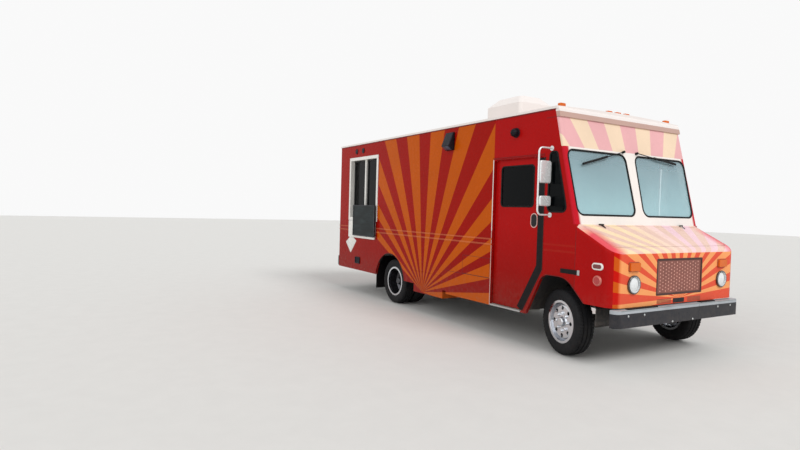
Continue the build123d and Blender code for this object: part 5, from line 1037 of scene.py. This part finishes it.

# Bumpers: a pale strip along the top as painted highlight, joint, bolts and pads in front, a blank plate
# behind
Form().strip([(-1105, 660), (1105, 660)], 9, 0.1, 1, bumper_place).piece("bumper_highlight_strip", HIGHLIGHT_GREY)
Form().strip([(322, 473), (322, 655)], 3, 0.1, 0.5, bumper_place).piece("bumper_joint", DARK)
BOLT = [(0.1, 13), (3, 12.5), (6, 9), (7.5, 4)]
bolts = Form()
for bolt_y, bolt_z in ((-987, 600), (-713, 598), (-196, 485), (196, 485), (713, 598), (987, 600)):
    bolts.turned(BOLT, (BUMPER_X, bolt_y, bolt_z), (1, 0, 0), 24, caps=True)
bolts.piece("bumper_bolts", ALUMINIUM)
pads = Form()
for low_y, high_y in ((-976, -467), (366, 656)):
    pads.box((3505, low_y, BUMPER_TOP_Z + 0.1), (3556, high_y, BUMPER_TOP_Z + 13), 3)
pads.piece("bumper_pads", RUBBER)
Form().plate(frame_of(-150, 150, 492, 642, 12, 4), [(0, 0.1), (0, 1.5), (-1, 2)],
             lambda u, v, w: Vector((-BUMPER_X - w, u, v))).piece("rear_plate_blank", FRAME_WHITE)

# Rear doors and tail lamps
y, z, half_width, half_height, corner = REAR_WINDOW
for name, hand in HANDS:
    low_y, high_y = sorted((hand * (y - half_width), hand * (y + half_width)))
    window = frame_of(low_y, high_y, z - half_height, z + half_height, corner, 8)
    Form().band(window, GASKET, rear_place).piece(f"rear_window_gasket_{name}", RUBBER, f"rear_door_{name}")
    for lamp_z in TAIL_LAMP_ROWS:
        ring = [(0.1, 60), (5, 58), (14, 51), (14, 48.8), (0.1, 48.8)]
        Form().turned(ring, (REAR_X, hand * TAIL_LAMP_Y, lamp_z), (-1, 0, 0), 40).piece(
            f"tail_lamp_rim_{name}_{lamp_z:.0f}", RUBBER if lamp_z < 2000 else PALE_TRIM)
Form().strip([(16, 862), (16, 2638)], 22, 0.1, 4, rear_place).piece(
    "rear_meeting_strip", RED_DEEP, "rear_door_left")
handle = Form().plate(frame_of(-96, -48, 1400, 1560, 14, 4), [(0, 0.1), (0, 4), (-3, 7)], rear_place)
handle.turned([(6, 15), (24, 15), (28, 11)], (REAR_X, -72, 1520), (-1, 0, 0), 24, caps=True)
handle.tube([(REAR_X - 24, -72, 1520), (REAR_X - 27, -72, 1470), (REAR_X - 27, -72, 1400)], 9)
handle.piece("rear_door_handle", CHROME, "rear_door_right")

# Mirror glass on the rear of each head
MIRROR_HEADS = [(2050, 2320, 42), (1775, 1898, 60)]
for name, hand in HANDS:
    low_y, high_y = sorted((hand * 1208, hand * 1375))
    panes = Form()
    for low_z, high_z, depth in MIRROR_HEADS:
        panes.plate(frame_of(low_y, high_y, low_z + 10, high_z - 10, 22, 5), [(0, 0.1), (0, 1.5), (-2, 2.2)],
                    lambda u, v, w: Vector((MIRROR_X - depth / 2 - w, u, v)))
    panes.piece(f"mirror_panes_{name}", SILVER)

# Roof: ribs over the joints of its sheets
ribs = Form()
for number in range(8):
    x = -2960 + 740 * number
    ribs.strip([(x, -1170 + 234 * step) for step in range(11)], 34, 0.2, 3.5, roof_place)
ribs.piece("roof_ribs", WHITE)

# Driver's seat: two padded cushions inside the plain seat's space, and the piping on their edges
SEAT_Y = 520
BACK_LEAN = 0.08


def back_place(u, v, height):
    """Y and height along the leaning seat back, with height forwards."""
    return Vector((1640 - (v - 1260) * BACK_LEAN + height, u, v))


def seat_place(u, v, height):
    return Vector((u, v, 1270 + height))


def applied(piece):
    """Turns the piece's modifiers into its mesh."""
    shown = piece.evaluated_get(bpy.context.evaluated_depsgraph_get())
    mesh = bpy.data.meshes.new_from_object(shown)
    piece.modifiers.clear()
    piece.data = mesh


def stuffed(piece, voxel=5, pressure=4, cap=24, frames=20):
    """Blows the piece up as its filling would, no point further than the cap."""
    scene = bpy.context.scene
    remesh = piece.modifiers.new("remesh", "REMESH")
    remesh.mode, remesh.voxel_size = "VOXEL", voxel * MM
    applied(piece)
    start = [point.co.copy() for point in piece.data.vertices]
    cloth = piece.modifiers.new("cloth", "CLOTH")
    cloth.settings.use_pressure = True
    cloth.settings.uniform_pressure_force = pressure
    cloth.settings.effector_weights.gravity = 0
    for number in range(1, frames + 1):
        scene.frame_set(number)
    applied(piece)
    scene.frame_set(1)
    for point, before in zip(piece.data.vertices, start):
        move = point.co - before
        if move.length > cap * MM:
            point.co = before + move.normalized() * cap * MM
    smooth = piece.modifiers.new("smooth", "SUBSURF")
    smooth.levels = 1
    applied(piece)
    for face in piece.data.polygons:
        face.use_smooth = True


def piping(form, piece, path):
    """A round trim laid on the piece along the path."""
    bpy.context.view_layer.update()
    laid = [piece.closest_point_on_mesh(point * MM)[1] / MM for point in path]
    return form.tube(laid, 4, 8, loop=True)


PAD_LEVELS = [(-20, 0), (0, 20), (0, 66), (-20, 86)]
cushion_edge = frame_of(1752, 2118, SEAT_Y - 218, SEAT_Y + 218, 46, 6)
back_edge = frame_of(SEAT_Y - 218, SEAT_Y + 218, 1290, 1990, 46, 6)
cushion = Form().plate(cushion_edge, PAD_LEVELS, seat_place).piece(
    "seat_cushion", VINYL, replaces=["driver_seat"])
back = Form().plate(back_edge, [(out, height + 8) for out, height in PAD_LEVELS], back_place).piece(
    "seat_back", VINYL, replaces=["driver_seat"])
trim = Form()
for pad, edge, place, lift in ((cushion, cushion_edge, seat_place, 70), (back, back_edge, back_place, 78)):
    stuffed(pad)
    piping(trim, pad, [place(*point, lift) for point in edge])
trim.piece("seat_piping", DARK)

# Camera: where the photograph was taken from
CAMERA_PLACE = Vector((7.4475, -6.2185, 1.6877))
CAMERA_LENS = 25.22
YAW, PITCH, ROLL = math.radians(149.1), math.radians(-1.6), math.radians(1.6)
look = Vector((math.cos(YAW) * math.cos(PITCH), math.sin(YAW) * math.cos(PITCH), math.sin(PITCH)))
right = look.cross(Vector((0, 0, 1))).normalized()
up = right.cross(look)
across = right * math.cos(ROLL) + up * math.sin(ROLL)
above = up * math.cos(ROLL) - right * math.sin(ROLL)
lens = bpy.data.cameras.new("camera")
lens.lens = CAMERA_LENS
lens.sensor_width = 36
lens.clip_start, lens.clip_end = 0.05, 200
camera = bpy.data.objects.new("camera", lens)
camera.matrix_world = Matrix.Translation(CAMERA_PLACE) @ Matrix((across, above, -look)).transposed().to_4x4()
bpy.context.scene.collection.objects.link(camera)
bpy.context.scene.camera = camera

# Floor, light and background
FLOOR_HALF = 60
floor_mesh = bpy.data.meshes.new("floor")
floor_corners = [(x * FLOOR_HALF, y * FLOOR_HALF, 0) for x, y in ((-1, -1), (1, -1), (1, 1), (-1, 1))]
floor_mesh.from_pydata(floor_corners, [], [(0, 1, 2, 3)])
floor_mesh.materials.append(plain("floor_pale", tone(222, 221, 218), 0.8, spread=0.03, bump=0))
floor = bpy.data.objects.new("floor", floor_mesh)
bpy.context.scene.collection.objects.link(floor)

AMBIENT = 0.58
BACKDROP = 0.95
world = bpy.data.worlds.new("studio")
world.use_nodes = True
tree = world.node_tree
tree.nodes.clear()
rays = node(tree, "LightPath").outputs
seen = node(tree, "Math", rays["Is Camera Ray"], rays["Is Glossy Ray"], operation="MAXIMUM").outputs[0]
either = node(tree, "Math", seen, rays["Is Transmission Ray"], operation="MAXIMUM").outputs[0]
level = node(tree, "MapRange", either, 0, 1, AMBIENT, BACKDROP).outputs[0]
background = node(tree, "Background", (1, 1, 1), level).outputs[0]
node(tree, "OutputWorld", background)
bpy.context.scene.world = world


def sun(name, energy, towards, spread):
    """A soft lamp that shines along a direction."""
    lamp = bpy.data.lights.new(name, "SUN")
    lamp.energy = energy
    lamp.angle = math.radians(spread)
    item = bpy.data.objects.new(name, lamp)
    item.rotation_mode = "QUATERNION"
    item.rotation_quaternion = Vector(towards).to_track_quat("-Z", "Y")
    bpy.context.scene.collection.objects.link(item)


sun("key_light", 1.5, (-0.75, -0.1, -0.75), 25)
sun("fill_light", 0.9, (-0.2, 1, -0.35), 60)

bpy.context.scene.view_settings.view_transform = "Standard"
